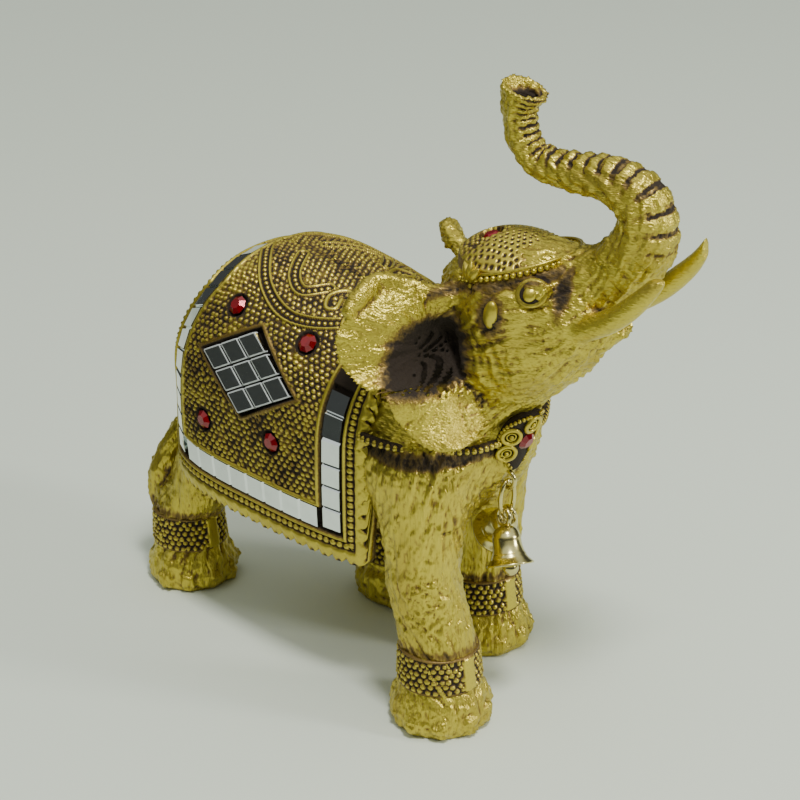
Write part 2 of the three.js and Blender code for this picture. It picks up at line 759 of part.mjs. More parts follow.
function diamondFrame(side) {
  const [p, q] = DIAMOND_PLACE;
  const middle = clothPoint(p, side * q);
  const normal = clothNormal(p, side * q);
  const level = new THREE.Vector3(1, 0, 0).addScaledVector(normal, -normal.x).normalize();
  const rise = new THREE.Vector3(0, 0, 1).addScaledVector(normal, -normal.z).normalize();
  const [u, v] = DIAMOND_SLOPES_DEG.map((slope) => {
    const angle = THREE.MathUtils.degToRad(slope);
    return level.clone().multiplyScalar(Math.cos(angle)).addScaledVector(rise, Math.sin(angle));
  });
  return { middle, normal, u, v };
}

function slab({ middle, normal, u, v }, cu, cv, half, low, high) {
  const ring = (height) =>
    [
      [-1, -1],
      [1, -1],
      [1, 1],
      [-1, 1],
    ].map(([a, b]) =>
      middle
        .clone()
        .addScaledVector(u, cu + a * half)
        .addScaledVector(v, cv + b * half)
        .addScaledVector(normal, height),
    );
  return solidOf(loft([ring(low), ring(high)]));
}

const DIAMOND_PITCH = MIRROR_TILE + TILE_JOINT;
const DIAMOND_HALF = (DIAMOND_TILES * DIAMOND_PITCH) / 2 + SETTING_GAP;

// The places of the rhinestones on each side, as [p, q].
const RHINESTONES = [
  [0.72, 0.31],
  [0.345, 0.305],
  [0.735, 0.705],
  [0.385, 0.66],
];

function rhinestone(middle, normal) {
  const radius = RHINESTONE_DIAMETER / 2;
  const outline = [
    [0, -RHINESTONE_SEAT_DEPTH + SETTING_GAP],
    [radius * 0.8, -RHINESTONE_SEAT_DEPTH + SETTING_GAP],
    [radius, 0.1],
    [radius * 0.55, RHINESTONE_HEIGHT - RHINESTONE_SEAT_DEPTH],
    [0, RHINESTONE_HEIGHT - RHINESTONE_SEAT_DEPTH],
  ].map(([x, y]) => new THREE.Vector2(x, y));
  const stone = new THREE.LatheGeometry(outline, 8);
  const turn = new THREE.Quaternion().setFromUnitVectors(new THREE.Vector3(0, 1, 0), normal);
  return solidOf(stone.applyQuaternion(turn).translate(middle.x, middle.y, middle.z));
}

function rhinestoneSeat(middle, normal) {
  const seat = new THREE.CylinderGeometry(1, 1, RHINESTONE_SEAT_DEPTH + 4, 10);
  seat.scale(RHINESTONE_DIAMETER / 2 + SETTING_GAP, 1, RHINESTONE_DIAMETER / 2 + SETTING_GAP);
  seat.translate(0, 2 - RHINESTONE_SEAT_DEPTH / 2 - 0.15, 0);
  const turn = new THREE.Quaternion().setFromUnitVectors(new THREE.Vector3(0, 1, 0), normal);
  return solidOf(seat.applyQuaternion(turn).translate(middle.x, middle.y, middle.z));
}

// The bells hang on one link from an eye in the medallion's foot. All are laid out from the eye's middle.
const EYE_PLACE = [10.4, -1, 49.4];
const BELL_LEANS = [
  { forward: 26, left: -14 },
  { forward: -40, left: 15 },
];
const RING_PLAY = 0.5;
const BELLS_APART = 1.8;
const eyeFrame = new THREE.Matrix4().makeTranslation(at(...EYE_PLACE));
const LINK_HANG = (EYE_RING_DIAMETER + LINK_LENGTH) / 2 - WIRE_DIAMETER - RING_PLAY;
const linkFrame = new THREE.Matrix4()
  .makeTranslation(0, 0, -LINK_HANG)
  .multiply(new THREE.Matrix4().makeRotationZ(Math.PI / 2))
  .premultiply(eyeFrame);

// A bell's loop hangs round the link's lower bend, its bell leaning away from the other one.
function bellFrame({ forward, left }) {
  const beside = (Math.sign(left) * BELLS_APART) / 2;
  const bend = (LINK_LENGTH / 2) * Math.sqrt(1 - (2 * beside / LINK_WIDTH) ** 2);
  const hang = bend - WIRE_DIAMETER - RING_PLAY + BELL_LOOP_LENGTH / 2;
  return new THREE.Matrix4()
    .makeTranslation(0, beside, -LINK_HANG - hang)
    .multiply(new THREE.Matrix4().makeRotationY(THREE.MathUtils.degToRad(-forward)))
    .multiply(new THREE.Matrix4().makeRotationX(THREE.MathUtils.degToRad(left)))
    .premultiply(eyeFrame);
}

// A wire ring in the XZ plane, closed on itself, from its middle line's height and width.
function ringOf(long, wide, wire, sides, steps) {
  const rings = [];
  for (let i = 0; i < steps; i++) {
    const angle = (2 * Math.PI * i) / steps;
    const out = new THREE.Vector3(Math.cos(angle), 0, Math.sin(angle));
    const middle = new THREE.Vector3((wide / 2) * out.x, 0, (long / 2) * out.z);
    const ring = [];
    for (let j = 0; j < sides; j++) {
      const turn = (2 * Math.PI * j) / sides;
      const p = middle.clone().addScaledVector(out, (wire / 2) * Math.cos(turn));
      p.y += (wire / 2) * Math.sin(turn);
      ring.push(p);
    }
    rings.push(ring);
  }
  const points = rings.flat();
  const faces = [];
  for (let i = 0; i < steps; i++) {
    for (let j = 0; j < sides; j++) {
      const next = (j + 1) % sides;
      const a = i * sides;
      const b = ((i + 1) % steps) * sides;
      faces.push([a + j, b + next, a + next], [a + j, b + j, b + next]);
    }
  }
  return facingOut(points, faces);
}

// A bell about its own axis: the loop's middle at the origin, the mouth below.
function bell() {
  const rim = BELL_RIM_DIAMETER / 2;
  const top = -BELL_LOOP_LENGTH / 2;
  const mouth = top - BELL_HEIGHT;
  const waist = rim * 0.62;
  const outline = [
    [0, top],
    [rim * 0.34, top - 0.2],
    [waist * 0.9, top - BELL_HEIGHT * 0.2],
    [waist, top - BELL_HEIGHT * 0.55],
    [rim * 0.76, top - BELL_HEIGHT * 0.8],
    [rim, mouth + 0.3],
    [rim, mouth],
    [rim - BELL_WALL, mouth],
    [rim * 0.76 - BELL_WALL, top - BELL_HEIGHT * 0.78],
    [waist - BELL_WALL, top - BELL_HEIGHT * 0.55],
    [waist * 0.9 - BELL_WALL, top - BELL_HEIGHT * 0.24],
    [0, top - BELL_WALL - 0.2],
  ].map(([x, y]) => new THREE.Vector2(x, y));
  const body = new THREE.LatheGeometry(outline.reverse(), BELL_SIDES).rotateX(Math.PI / 2);
  const loop = ringOf(BELL_LOOP_LENGTH, BELL_LOOP_WIDTH, WIRE_DIAMETER, 5, 8);
  return solidOf(body).add(solidOf(loop));
}

// The clapper ball hangs in the bell's mouth, CLAPPER_HANG of the bell's height below its top.
function clapper() {
  const ball = new THREE.SphereGeometry(CLAPPER_DIAMETER / 2, 8, 5);
  return ball.translate(0, 0, -BELL_LOOP_LENGTH / 2 - BELL_HEIGHT * CLAPPER_HANG);
}

// The stones on the crown of the cap and in the middle of the medallion: name, place, outward direction.
const crown = at(2.6, -1, 97.6).applyMatrix4(headFrame);
const crownOut = new THREE.Vector3(-0.35, -0.12, 1).normalize().transformDirection(headFrame);
const breast = new THREE.Vector3().applyMatrix4(medallionFrame);
const breastOut = FORWARD.clone().transformDirection(medallionFrame);
const SINGLE_STONES = [
  ["rhinestone_cap", crown, crownOut],
  ["rhinestone_medallion", breast, breastOut],
];

const SIDES = { left: 1, right: -1 };
const group = new THREE.Group();

function addMesh(name, solid, finish) {
  const mesh = new THREE.Mesh(geometryOf(solid), new THREE.MeshStandardMaterial(finish));
  mesh.name = name;
  group.add(mesh);
}

let casting = union([
  barrel(),
  neck(),
  ...Object.values(LEG_PLACES).map(leg),
  ...Object.values(LEG_PLACES).map(anklet),
  tail(),
]);
casting = casting.subtract(earHollow(-1, NEAR_EAR)).subtract(earHollow(1, FAR_EAR));
casting = union([casting, head(), ear(-1, NEAR_EAR), ear(1, FAR_EAR)]);
casting = union([casting, trunk().subtract(nostril()), tusk(-1), tusk(1)]);
casting = union([casting, ...cap(), medallion(), ...[1, -1].map(strap)]);
casting = union([casting, cloth(), hem(1), hem(-1)]);
for (const [word, side] of Object.entries(SIDES)) {
  for (const [edge, route] of Object.entries(ROUTES)) {
    casting = casting.subtract(stripChannel(route, side));
    addMesh(`mirror_strip_${edge}_${word}`, mirrorStrip(route, side), MIRROR);
  }
  const frame = diamondFrame(side);
  casting = casting.subtract(
    slab(frame, 0, 0, DIAMOND_HALF, MIRROR_STAND_OUT - MIRROR_THICKNESS - SETTING_GAP, 4),
  );
  for (let i = 0; i < DIAMOND_TILES; i++) {
    for (let j = 0; j < DIAMOND_TILES; j++) {
      const [cu, cv] = [i, j].map((k) => (k - (DIAMOND_TILES - 1) / 2) * DIAMOND_PITCH);
      const low = MIRROR_STAND_OUT - MIRROR_THICKNESS;
      const tile = slab(frame, cu, cv, MIRROR_TILE / 2, low, MIRROR_STAND_OUT);
      addMesh(`mirror_tile_${word}_${i + 1}${j + 1}`, tile, MIRROR);
    }
  }
  RHINESTONES.forEach(([p, q], k) => {
    const place = clothPoint(p, side * q);
    const normal = clothNormal(p, side * q);
    casting = casting.subtract(rhinestoneSeat(place, normal));
    addMesh(`rhinestone_${word}_${k + 1}`, rhinestone(place, normal), RED_GLASS);
  });
}
for (const [name, place, normal] of SINGLE_STONES) {
  casting = casting.subtract(rhinestoneSeat(place, normal));
  addMesh(name, rhinestone(place, normal), RED_GLASS);
}
const eyeSocket = new THREE.SphereGeometry(EYE_RING_DIAMETER / 2 + WIRE_DIAMETER / 2 + SETTING_GAP, 8, 6);
eyeSocket.scale(1.1, 0.5, 1.1).applyMatrix4(eyeFrame);
casting = casting.subtract(solidOf(eyeSocket));
addMesh("elephant_casting", withoutPockets(casting), GOLD);
const eyeRing = ringOf(EYE_RING_DIAMETER, EYE_RING_DIAMETER, WIRE_DIAMETER, 6, 10);
addMesh("eye_ring", solidOf(eyeRing.applyMatrix4(eyeFrame)), BRASS);
const link = ringOf(LINK_LENGTH, LINK_WIDTH, WIRE_DIAMETER, 6, 12);
addMesh("bell_link", solidOf(link.applyMatrix4(linkFrame)), BRASS);
BELL_LEANS.forEach((lean, k) => {
  const frame = bellFrame(lean);
  addMesh(`bell_${k + 1}`, bell().transform(frame.elements), BRASS);
  addMesh(`bell_clapper_${k + 1}`, solidOf(clapper().applyMatrix4(frame)), BRASS);
});

// The origin is the middle of the whole figurine's outline, on the ground it stands on.
const box = new THREE.Box3().setFromObject(group);
const middle = box.getCenter(new THREE.Vector3());
group.position.set(-middle.x, -middle.y, -box.min.z);

export default group;
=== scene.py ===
"""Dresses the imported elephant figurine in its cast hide, relief cloth, jewellery, metal and stage.

Shapes are worked out in millimetres about a place between the front feet (X forward, Y the elephant's
left, Z up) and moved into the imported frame, in metres, when their meshes are made.
"""
import itertools
import math

import bpy
import numpy as np
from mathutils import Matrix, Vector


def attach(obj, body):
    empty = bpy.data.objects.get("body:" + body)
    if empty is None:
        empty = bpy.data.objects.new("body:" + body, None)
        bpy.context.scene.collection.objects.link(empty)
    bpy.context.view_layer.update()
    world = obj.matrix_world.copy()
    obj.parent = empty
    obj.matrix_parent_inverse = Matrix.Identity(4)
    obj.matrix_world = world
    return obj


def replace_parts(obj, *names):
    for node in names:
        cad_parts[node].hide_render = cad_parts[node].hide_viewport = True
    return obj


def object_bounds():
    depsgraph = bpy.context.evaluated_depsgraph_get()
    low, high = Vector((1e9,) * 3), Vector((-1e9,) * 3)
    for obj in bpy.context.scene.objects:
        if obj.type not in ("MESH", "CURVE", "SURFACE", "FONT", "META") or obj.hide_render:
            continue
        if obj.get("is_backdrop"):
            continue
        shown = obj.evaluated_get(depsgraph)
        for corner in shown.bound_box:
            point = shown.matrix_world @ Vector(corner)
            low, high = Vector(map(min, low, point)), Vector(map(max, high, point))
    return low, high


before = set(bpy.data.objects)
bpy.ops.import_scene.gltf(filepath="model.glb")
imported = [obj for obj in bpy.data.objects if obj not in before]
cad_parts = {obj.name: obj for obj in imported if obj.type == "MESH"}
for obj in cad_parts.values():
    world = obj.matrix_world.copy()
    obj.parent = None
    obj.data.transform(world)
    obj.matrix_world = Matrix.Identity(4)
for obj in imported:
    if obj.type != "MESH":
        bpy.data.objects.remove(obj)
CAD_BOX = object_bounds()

import openvdb
from bpy.props import FloatProperty, FloatVectorProperty, PointerProperty
from mathutils import Euler

bl_info = {
    "name": "Gilded Elephant Figurine",
    "version": (1, 0, 0),
    "blender": (4, 5, 0),
    "location": "View3D > Sidebar > Figurine",
    "description": "Hide, saddle cloth, jewellery, metal and stage for the packed elephant figurine",
    "category": "Object",
}

MM = 0.001
TO_FRAME = np.array((17.4019, 2.0941, 0.0))
HEAD_PIVOT_X = 2.0
HEAD_YAW = math.radians(10)
ACROSS = np.array((0.0, 1.0, 0.0))
FORWARD = np.array((1.0, 0.0, 0.0))
UP = np.array((0.0, 0.0, 1.0))
CASTING = "elephant_casting"

# The forms' tables, after the solid's: [x, y, z, radius across, radius along] unless said.
BARREL = [  # [x, half width, top, bottom]
    [-70.8, 5, 56, 42], [-69.6, 11.4, 62, 36], [-65.6, 17.8, 70, 31.5], [-58, 21.4, 76.8, 29],
    [-48.5, 22.8, 79.2, 28.5], [-36, 23, 78.2, 28.5], [-24, 22.8, 75.8, 29], [-13, 21.6, 73.4, 31],
    [-4, 18.6, 71.5, 35.5], [3.4, 15.2, 69.5, 41], [7.8, 11.2, 67, 47], [10.6, 5.5, 62, 52],
]
BARREL_SQUARENESS = 2.3
NECK = [
    [-16, 0, 60, 14, 15.5], [-8, 0.2, 65, 13, 16], [0, 0.8, 70.5, 12, 15],
    [7, 1.6, 76.5, 11.4, 12.8], [11, 2.2, 83, 10.4, 10.6],
]
LEGS = {  # foot, knee, hip, hip height, thickness
    "right_fore": ((6, -14.5), (2.4, -15.4), (-4, -11), 63, 1.0),
    "left_fore": ((-8.8, 13.4), (-8.6, 14), (-7, 11), 63, 1.0),
    "right_hind": ((-71.6, -12.6), (-66, -11.5), (-50, -8), 55, 0.95),
    "left_hind": ((-34.5, 15.6), (-36, 14.6), (-47, 10), 55, 1.04),
}
TOE_TURNS, TOE_OUT, TOE_Z, TOE_RADII = (-80, -45, -10, 25, 60), 8.3, 2.6, (2.5, 2.5, 2.7)
TRUNK = [
    [12, 0, 88, 9.5, 10], [17, 0, 90.5, 8.2, 8.4], [22, 0, 92.2, 6.8, 7], [27.5, 0, 95.4, 6.2, 6.3],
    [32, 0, 99.8, 6, 6.1], [34.4, 0, 105, 5.8, 5.8], [33.4, 0, 110.3, 5.2, 5.2],
    [28.8, 0, 113.3, 4.5, 4.5], [22.8, 0, 113.7, 3.8, 3.8], [16.8, 0, 113.5, 3.4, 3.4],
    [11.8, 0, 114.2, 3.2, 3.2], [8.6, 0, 117.4, 3.2, 3.2], [7.4, 0, 121.4, 3.3, 3.2],
    [7.6, 0, 124.6, 3.7, 3.6], [8.4, 0, 127.2, 4.3, 4.6],
]
JAW = [
    [4, 0, 76, 12, 10], [11, 0, 78.5, 12.2, 10.4], [18, 0, 82.2, 10.6, 9],
    [24, 0, 84.6, 7.6, 6], [28.6, 0, 85.2, 4.2, 3], [31.4, 0, 85.6, 1.6, 1],
]
FACE = [[8, 0, 86, 12.4, 11], [15, 0, 88.4, 11.2, 10.4], [21, 0, 90.2, 8.6, 8.8], [26, 0, 92.4, 6.4, 7]]
TUSK = [
    [22, 6.4, 85.2, 2.4, 2.4], [28.2, 7.2, 88.2, 2.4, 2.4], [33.5, 8, 91.6, 2.2, 2.2],
    [38, 8.2, 96, 1.9, 1.9], [41.2, 7.8, 100.2, 1.3, 1.3], [43.2, 7.2, 104.6, 0.45, 0.45],
]
TAIL = [
    [-65, -1, 62.5, 3.2, 3.2], [-69.8, -2.4, 56, 2.4, 2.4], [-72, -6, 46, 1.9, 1.9],
    [-74.4, -10.8, 36, 1.9, 1.9], [-76.8, -14.4, 28, 2.5, 2.2], [-77.8, -15.8, 21, 2.7, 2.2],
    [-77, -16.4, 14.6, 0.6, 0.6],
]
EAR_ROOT = [
    [0.5, 9, 88.2], [1.5, 10.6, 85.8], [2.6, 11.4, 82], [3.4, 11.6, 78],
    [4.6, 11.8, 74], [6, 12, 70], [7.6, 12, 66], [9.2, 12, 63],
]
EAR_RIM = [
    [-11.4, 17, 91.4], [-12.4, 21.5, 90], [-13.2, 25.6, 86.4], [-14, 27.5, 82.4], [-12.2, 28.5, 77],
    [-7.5, 28.5, 74.4], [-2.9, 27.5, 73], [-1.7, 26, 67.8], [3.2, 23, 63.2], [7.6, 19, 62.1],
]
EAR_FOLD = [
    [2, 8, 88, 2.2], [-4.4, 12.6, 88.6, 2], [-10.8, 17, 91, 1.8],
    [-12.2, 21.5, 90, 1.6], [-13, 25.4, 86.6, 1.2],
]
EAR_THICKNESS = 2.4
EARS = {-1: ((0, 0), 1.0), 1: ((-6.6, -1.6), 0.84)}
PIT_PLACE = np.array((-2.0, 13.5, 78.6))
CAP_MIDDLE = np.array((8, 0, 88.4))
CAP_RADII = np.array((14.2, 12, 11.2))
CAP_EDGE_Z = 93.8
CAP_SLOPE = math.radians(18)
CAP_STONE = np.array((2.6, -1.0))
KNEE_SWIRLS = ((9.0, -19.6, 27.5), (-2.6, 10.4, 31.0), (-60.4, -14.6, 27.0), (-30.6, 10.0, 27.0))


# Tables and surfaces
def unit(vectors):
    """Vectors scaled to length one, along the last axis."""
    return vectors / np.maximum(np.linalg.norm(vectors, axis=-1, keepdims=True), 1e-9)


def between(rows, t):
    """Smooth values of a table's columns at shares t of the way through its rows."""
    rows = np.asarray(rows, float)
    place = np.clip(np.atleast_1d(t), 0, 1) * (len(rows) - 1)
    i = np.minimum(place.astype(int), len(rows) - 2)
    f = (place - i)[..., None]
    a, b, d, e = (rows[np.clip(i + k, 0, len(rows) - 1)] for k in (-1, 0, 1, 2))
    return b + 0.5 * f * (d - a + f * (2 * a - 5 * b + 4 * d - e + f * (3 * (b - d) + e - a)))


def power(value, exponent):
    """A power that keeps the value's sign."""
    return np.sign(value) * np.abs(value) ** exponent


def step_up(low, high, value):
    """0 below low, 1 above high, smooth between."""
    t = np.clip((value - low) / (high - low), 0, 1)
    return t * t * (3 - 2 * t)


def head_turn(points):
    """Points given as (forward, left, up) of the turned head, as places of the figure."""
    c, s = math.cos(HEAD_YAW), math.sin(HEAD_YAW)
    x, y, z = np.moveaxis(np.asarray(points, float), -1, 0)
    return np.stack((HEAD_PIVOT_X + x * c - y * s, x * s + y * c, z), -1)


def head_back(points):
    """Places of the figure as (forward, left, up) of the head."""
    c, s = math.cos(HEAD_YAW), math.sin(HEAD_YAW)
    x, y, z = np.moveaxis(points, -1, 0)
    x = x - HEAD_PIVOT_X
    return np.stack((x * c + y * s, -x * s + y * c, z), -1)


def grid_quads(rows, columns, around=False, offset=0):
    """Quads of a grid of points, joined back to its first column when it goes around."""
    i, j = np.meshgrid(np.arange(rows - 1), np.arange(columns if around else columns - 1), indexing="ij")
    k = (j + 1) % columns
    quads = np.stack((i * columns + j, i * columns + k, (i + 1) * columns + k, (i + 1) * columns + j), -1)
    return quads.reshape(-1, 4) + offset


def tube(rings, closed=False):
    """A skin over rings of points, joined side to side; fans shut its ends unless it closes on itself."""
    n, m, _ = rings.shape
    points = rings.reshape(-1, 3)
    if closed:
        looped = np.concatenate((rings, rings[:1]))
        quads = grid_quads(n + 1, m, True) % (n * m)
        return facing_out(looped[:-1].reshape(-1, 3), quads, np.zeros((0, 3), int))
    quads = grid_quads(n, m, True)
    j = np.arange(m)
    k = (j + 1) % m
    ends = np.stack((rings[0].mean(0), rings[-1].mean(0)))
    first = np.stack((np.full(m, n * m), k, j), -1)
    last = np.stack((np.full(m, n * m + 1), (n - 1) * m + j, (n - 1) * m + k), -1)
    return facing_out(np.concatenate((points, ends)), quads, np.concatenate((first, last)))


def facing_out(points, quads, tris):
    """The same closed skin with its faces turned outwards, judged by the volume that it holds."""
    fan = np.concatenate((quads[:, [0, 1, 2]], quads[:, [0, 2, 3]], tris))
    a, b, c = (points[fan[:, k]] for k in range(3))
    if (a * np.cross(b, c)).sum() < 0:
        quads, tris = quads[:, ::-1], tris[:, ::-1]
    return points, quads, tris


def limb(rows, steps, sides, across, swell=None):
    """Rings of ellipses square to a smooth line through the table's rows; swell(angle, t) scales them."""
    t = np.linspace(0, 1, steps + 1)
    table = between(rows, t)
    along = unit(between(rows, t + 0.5 / steps)[:, :3] - between(rows, t - 0.5 / steps)[:, :3])
    u = unit(across - along * (along @ across)[:, None])
    v = np.cross(along, u)
    angle = np.arange(sides) * 2 * np.pi / sides
    scale = 1.0 if swell is None else swell(angle[None, :], t[:, None])[..., None]
    wide = (table[:, 3, None] * np.cos(angle))[..., None] * u[:, None]
    deep = (table[:, 4, None] * np.sin(angle))[..., None] * v[:, None]
    return table[:, None, :3] + scale * (wide + deep)


def ball(middle, radii, lean=0.0, around=28, down=18):
    """A closed ellipsoid leaning by lean degrees about the axis across the head."""
    a = np.linspace(0.03, np.pi - 0.03, down)[:, None]
    b = (np.arange(around) * 2 * np.pi / around)[None, :]
    shape = np.stack((np.sin(a) * np.cos(b), np.sin(a) * np.sin(b), np.cos(a) * np.ones_like(b)), -1) * radii
    turn = math.radians(-lean)
    x = shape[..., 0] * math.cos(turn) + shape[..., 2] * math.sin(turn)
    z = -shape[..., 0] * math.sin(turn) + shape[..., 2] * math.cos(turn)
    return np.stack((x, shape[..., 1], z), -1) + np.asarray(middle, float)


def noise(points, pitch, seed):
    """Smooth random values from -1 to 1: a draw for each corner of a lattice, eased between corners."""
    q = points / pitch
    cell = np.floor(q).astype(np.int64)
    f = q - cell
    f = f * f * (3 - 2 * f)
    total = np.zeros(points.shape[:-1])
    for corner in itertools.product((0, 1), repeat=3):
        c = cell + np.array(corner)
        h = c[..., 0] * 73856093 ^ c[..., 1] * 19349663 ^ c[..., 2] * 83492791 ^ seed * 2654435761
        h = (h ^ (h >> 13)) * 1274126177 & 0x7FFFFFFF
        h = (h ^ (h >> 15)) * 668265263 & 0x7FFFFFFF
        weight = np.prod(np.where(np.array(corner) == 1, f, 1 - f), -1)
        total += weight * (h / 0x3FFFFFFF - 1)
    return total


def streaks(points, flow, pitch, reach, seed):
    """Strokes that follow the flow: fine noise averaged over places ahead and behind on the flow line."""
    places = np.linspace(-reach, reach, 11)
    return sum(noise(points + flow * place, pitch, seed) for place in places) / 2.4


# Meshes
def build(name, skin, material, wash_and_shade=None, grain=None):
    """A piece from points in millimetres; the darkness argument is dark paint, and on the hide painted shade
    too; grain the places its shader reads.
    """
    points, quads, tris = skin
    mesh = bpy.data.meshes.new(name)
    mesh.vertices.add(len(points))
    mesh.vertices.foreach_set("co", ((points + TO_FRAME) * MM).astype(np.float32).ravel())
    corners = np.concatenate((quads.ravel(), tris.ravel()))
    mesh.loops.add(len(corners))
    mesh.loops.foreach_set("vertex_index", corners.astype(np.int32))
    sizes = np.concatenate((np.full(len(quads), 4), np.full(len(tris), 3)))
    mesh.polygons.add(len(sizes))
    mesh.polygons.foreach_set("loop_start", (np.cumsum(sizes) - sizes).astype(np.int32))
    mesh.polygons.foreach_set("use_smooth", np.ones(len(sizes), bool))
    mesh.update(calc_edges=True)
    values = np.zeros(len(points)) if wash_and_shade is None else wash_and_shade
    # Darkness from dark paint, and on the hide painted shade as well.
    mesh.attributes.new("wash_and_shade", "FLOAT", "POINT").data.foreach_set("value", values.astype(np.float32))
    if grain is not None:
        places = mesh.attributes.new("grain", "FLOAT_VECTOR", "POINT")
        places.data.foreach_set("vector", grain.astype(np.float32).ravel())
    mesh.materials.append(material)
    piece = bpy.data.objects.new(name, mesh)
    bpy.context.scene.collection.objects.link(piece)
    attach(piece, "root")
    return piece


def together(skins):
    """Several skins as one."""
    start, points, quads, tris = 0, [], [], []
    for p, q, t in skins:
        points.append(p)
        quads.append(q + start)
        tris.append(t + start)
        start += len(p)
    return np.concatenate(points), np.concatenate(quads), np.concatenate(tris)


def normals_of(points, quads):
    """Each point's outward direction, the mean of its quads'."""
    cross = np.cross(points[quads[:, 2]] - points[quads[:, 0]], points[quads[:, 3]] - points[quads[:, 1]])
    total = [np.bincount(quads.ravel(), np.repeat(cross[:, k], 4), len(points)) for k in range(3)]
    return unit(np.stack(total, -1))


def hollows_of(points, quads, normals, rounds):
    """How far each point lies below its surroundings, in millimetres, over that many rounds of averaging."""
    a = quads.ravel()
    b = np.roll(quads, 1, axis=1).ravel()
    count = np.bincount(a, minlength=len(points)) + np.bincount(b, minlength=len(points))
    mean = points.copy()
    for _ in range(rounds):
        mean = np.stack([
            (np.bincount(a, mean[b, k], len(points)) + np.bincount(b, mean[a, k], len(points))) / count
            for k in range(3)
        ], -1)
    return ((mean - points) * normals).sum(-1)


def beads(middles, radii, around=8, down=5):
    """Small balls at the given middles, as one skin."""
    shape = ball((0, 0, 0), (1, 1, 1), 0, around, down)
    p, q, t = tube(shape)
    n = len(middles)
    radii = np.broadcast_to(radii, (n,))
    points = (np.asarray(middles)[:, None] + p[None] * radii[:, None, None]).reshape(-1, 3)
    shift = (np.arange(n) * len(p))[:, None, None]
    return points, (q[None] + shift).reshape(-1, 4), (t[None] + shift).reshape(-1, 3)


# The cast hide
REACH = 3.6
CUT_Z = 59.2
CUT_X = -14.0
TRUNK_CUT_Z = 100.0
BARREL_CUT_X = -18.0
HIND_CUT_Z = 36.0
HIDE_PARTS = {  # low corner, high corner, lattice pitch
    "trunk": ((2, -14, 98), (42, 18, 132), 0.33),
    "head": ((-26, -34, 57), (52, 34, 102), 0.375),
    "fore": ((-21, -27, -2), (20, 27, 76), 0.385),
    "barrel": ((-74, -26, 34), (-12, 26, 82), 0.7),
    "hind": ((-84, -27, -2), (-16, 27, 38), 0.46),
}


def smooth_least(a, b, blend):
    """The lesser of two distances, rounded where they are closer than the blend."""
    if blend <= 0:
        return np.minimum(a, b)
    h = np.clip(0.5 + 0.5 * (b - a) / blend, 0, 1)
    return b + (a - b) * h - blend * h * (1 - h)


class Field:
    """Distances to a form in millimetres on a lattice, negative inside, no further than REACH."""

    def __init__(self, low, high, pitch):
        """An empty lattice between two corners."""
        self.pitch = pitch
        self.start = np.floor(np.array(low) / pitch).astype(int)
        self.size = np.ceil(np.array(high) / pitch).astype(int) - self.start + 1
        self.values = np.full(self.size, REACH, np.float32)

    def block(self, skin):
        """Where on the lattice a closed skin reaches, and its distances there."""
        points, quads, tris = skin
        low = np.floor((points.min(0) - REACH) / self.pitch).astype(int) - self.start
        high = np.ceil((points.max(0) + REACH) / self.pitch).astype(int) - self.start + 1
        low, high = np.maximum(low, 0), np.minimum(high, self.size)
        if (high <= low).any():
            return None, None
        grid = openvdb.FloatGrid.createLevelSetFromPolygons(
            points.astype(np.float32),
            triangles=np.ascontiguousarray(tris, np.uint32),
            quads=np.ascontiguousarray(quads, np.uint32),
            transform=openvdb.createLinearTransform(voxelSize=self.pitch),
            halfWidth=REACH / self.pitch,
        )
        values = np.empty(tuple(high - low), np.float32)
        grid.copyToArray(values, ijk=tuple(int(v) for v in low + self.start))
        return tuple(slice(a, b) for a, b in zip(low, high)), values

    def join(self, skin, blend):
        """Adds a closed skin, its joint rounded over the blend."""
        where, values = self.block(skin)
        if where:
            self.values[where] = smooth_least(self.values[where], values, blend)

    def carve(self, skin, blend):
        """Takes a closed skin away, its edge rounded over the blend."""
        where, values = self.block(skin)
        if where:
            self.values[where] = -smooth_least(-self.values[where], values, blend)

    def axes(self):
        """The lattice's places along X, Y and Z."""
        return [((self.start[k] + np.arange(self.size[k])) * self.pitch).astype(np.float32) for k in range(3)]

    def surface(self):
        """The quads where the distance is nought, facing outwards."""
        grid = openvdb.FloatGrid(background=REACH)
        grid.copyFromArray(self.values, ijk=tuple(int(v) for v in self.start))
        grid.transform = openvdb.createLinearTransform(voxelSize=self.pitch)
        points, quads = grid.convertToQuads(isovalue=0.0)
        points, quads, _ = facing_out(points.astype(float), quads.astype(int), np.zeros((0, 3), int))
        return points, quads


def barrel_rings(steps=90, sides=96):
    """The barrel: superellipse rings with their own half width, top and bottom along the back."""
    rows = between(BARREL, np.linspace(0, 1, steps + 1))
    angle = np.arange(sides) * 2 * np.pi / sides
    x, half, top, bottom = rows.T[..., None]
    middle = (top + bottom) / 2
    y = half * power(np.sin(angle), 2 / BARREL_SQUARENESS)
    z = middle + (top - middle) * power(np.cos(angle), 2 / BARREL_SQUARENESS)
    return np.stack((x * np.ones_like(y), y, z), -1)


def leg_rows(foot, knee, hip, hip_z, thick):
    """A leg's table from the sole up into the body."""
    foot, knee, hip = (np.array(v, float) for v in (foot, knee, hip))
    back = np.array((1.0, 0.0))
    places = [
        (foot, 0, 9.0), (foot, 2.6, 9.9), (foot, 6, 9.3), (foot - 0.2 * back, 9.6, 7.9),
        (foot - 0.6 * back, 16.5, 7.4), ((foot + knee) / 2, 22, 7.1), (knee, 29, 7.1),
        (knee + 0.15 * (hip - knee), 36, 7.6), (knee + 0.35 * (hip - knee), 44, 8.8),
        (knee + 0.65 * (hip - knee), 53, 10.2), (hip, hip_z, 6.5),
    ]
    return [[p[0], p[1], z, r * thick, r * thick] for p, z, r in places]


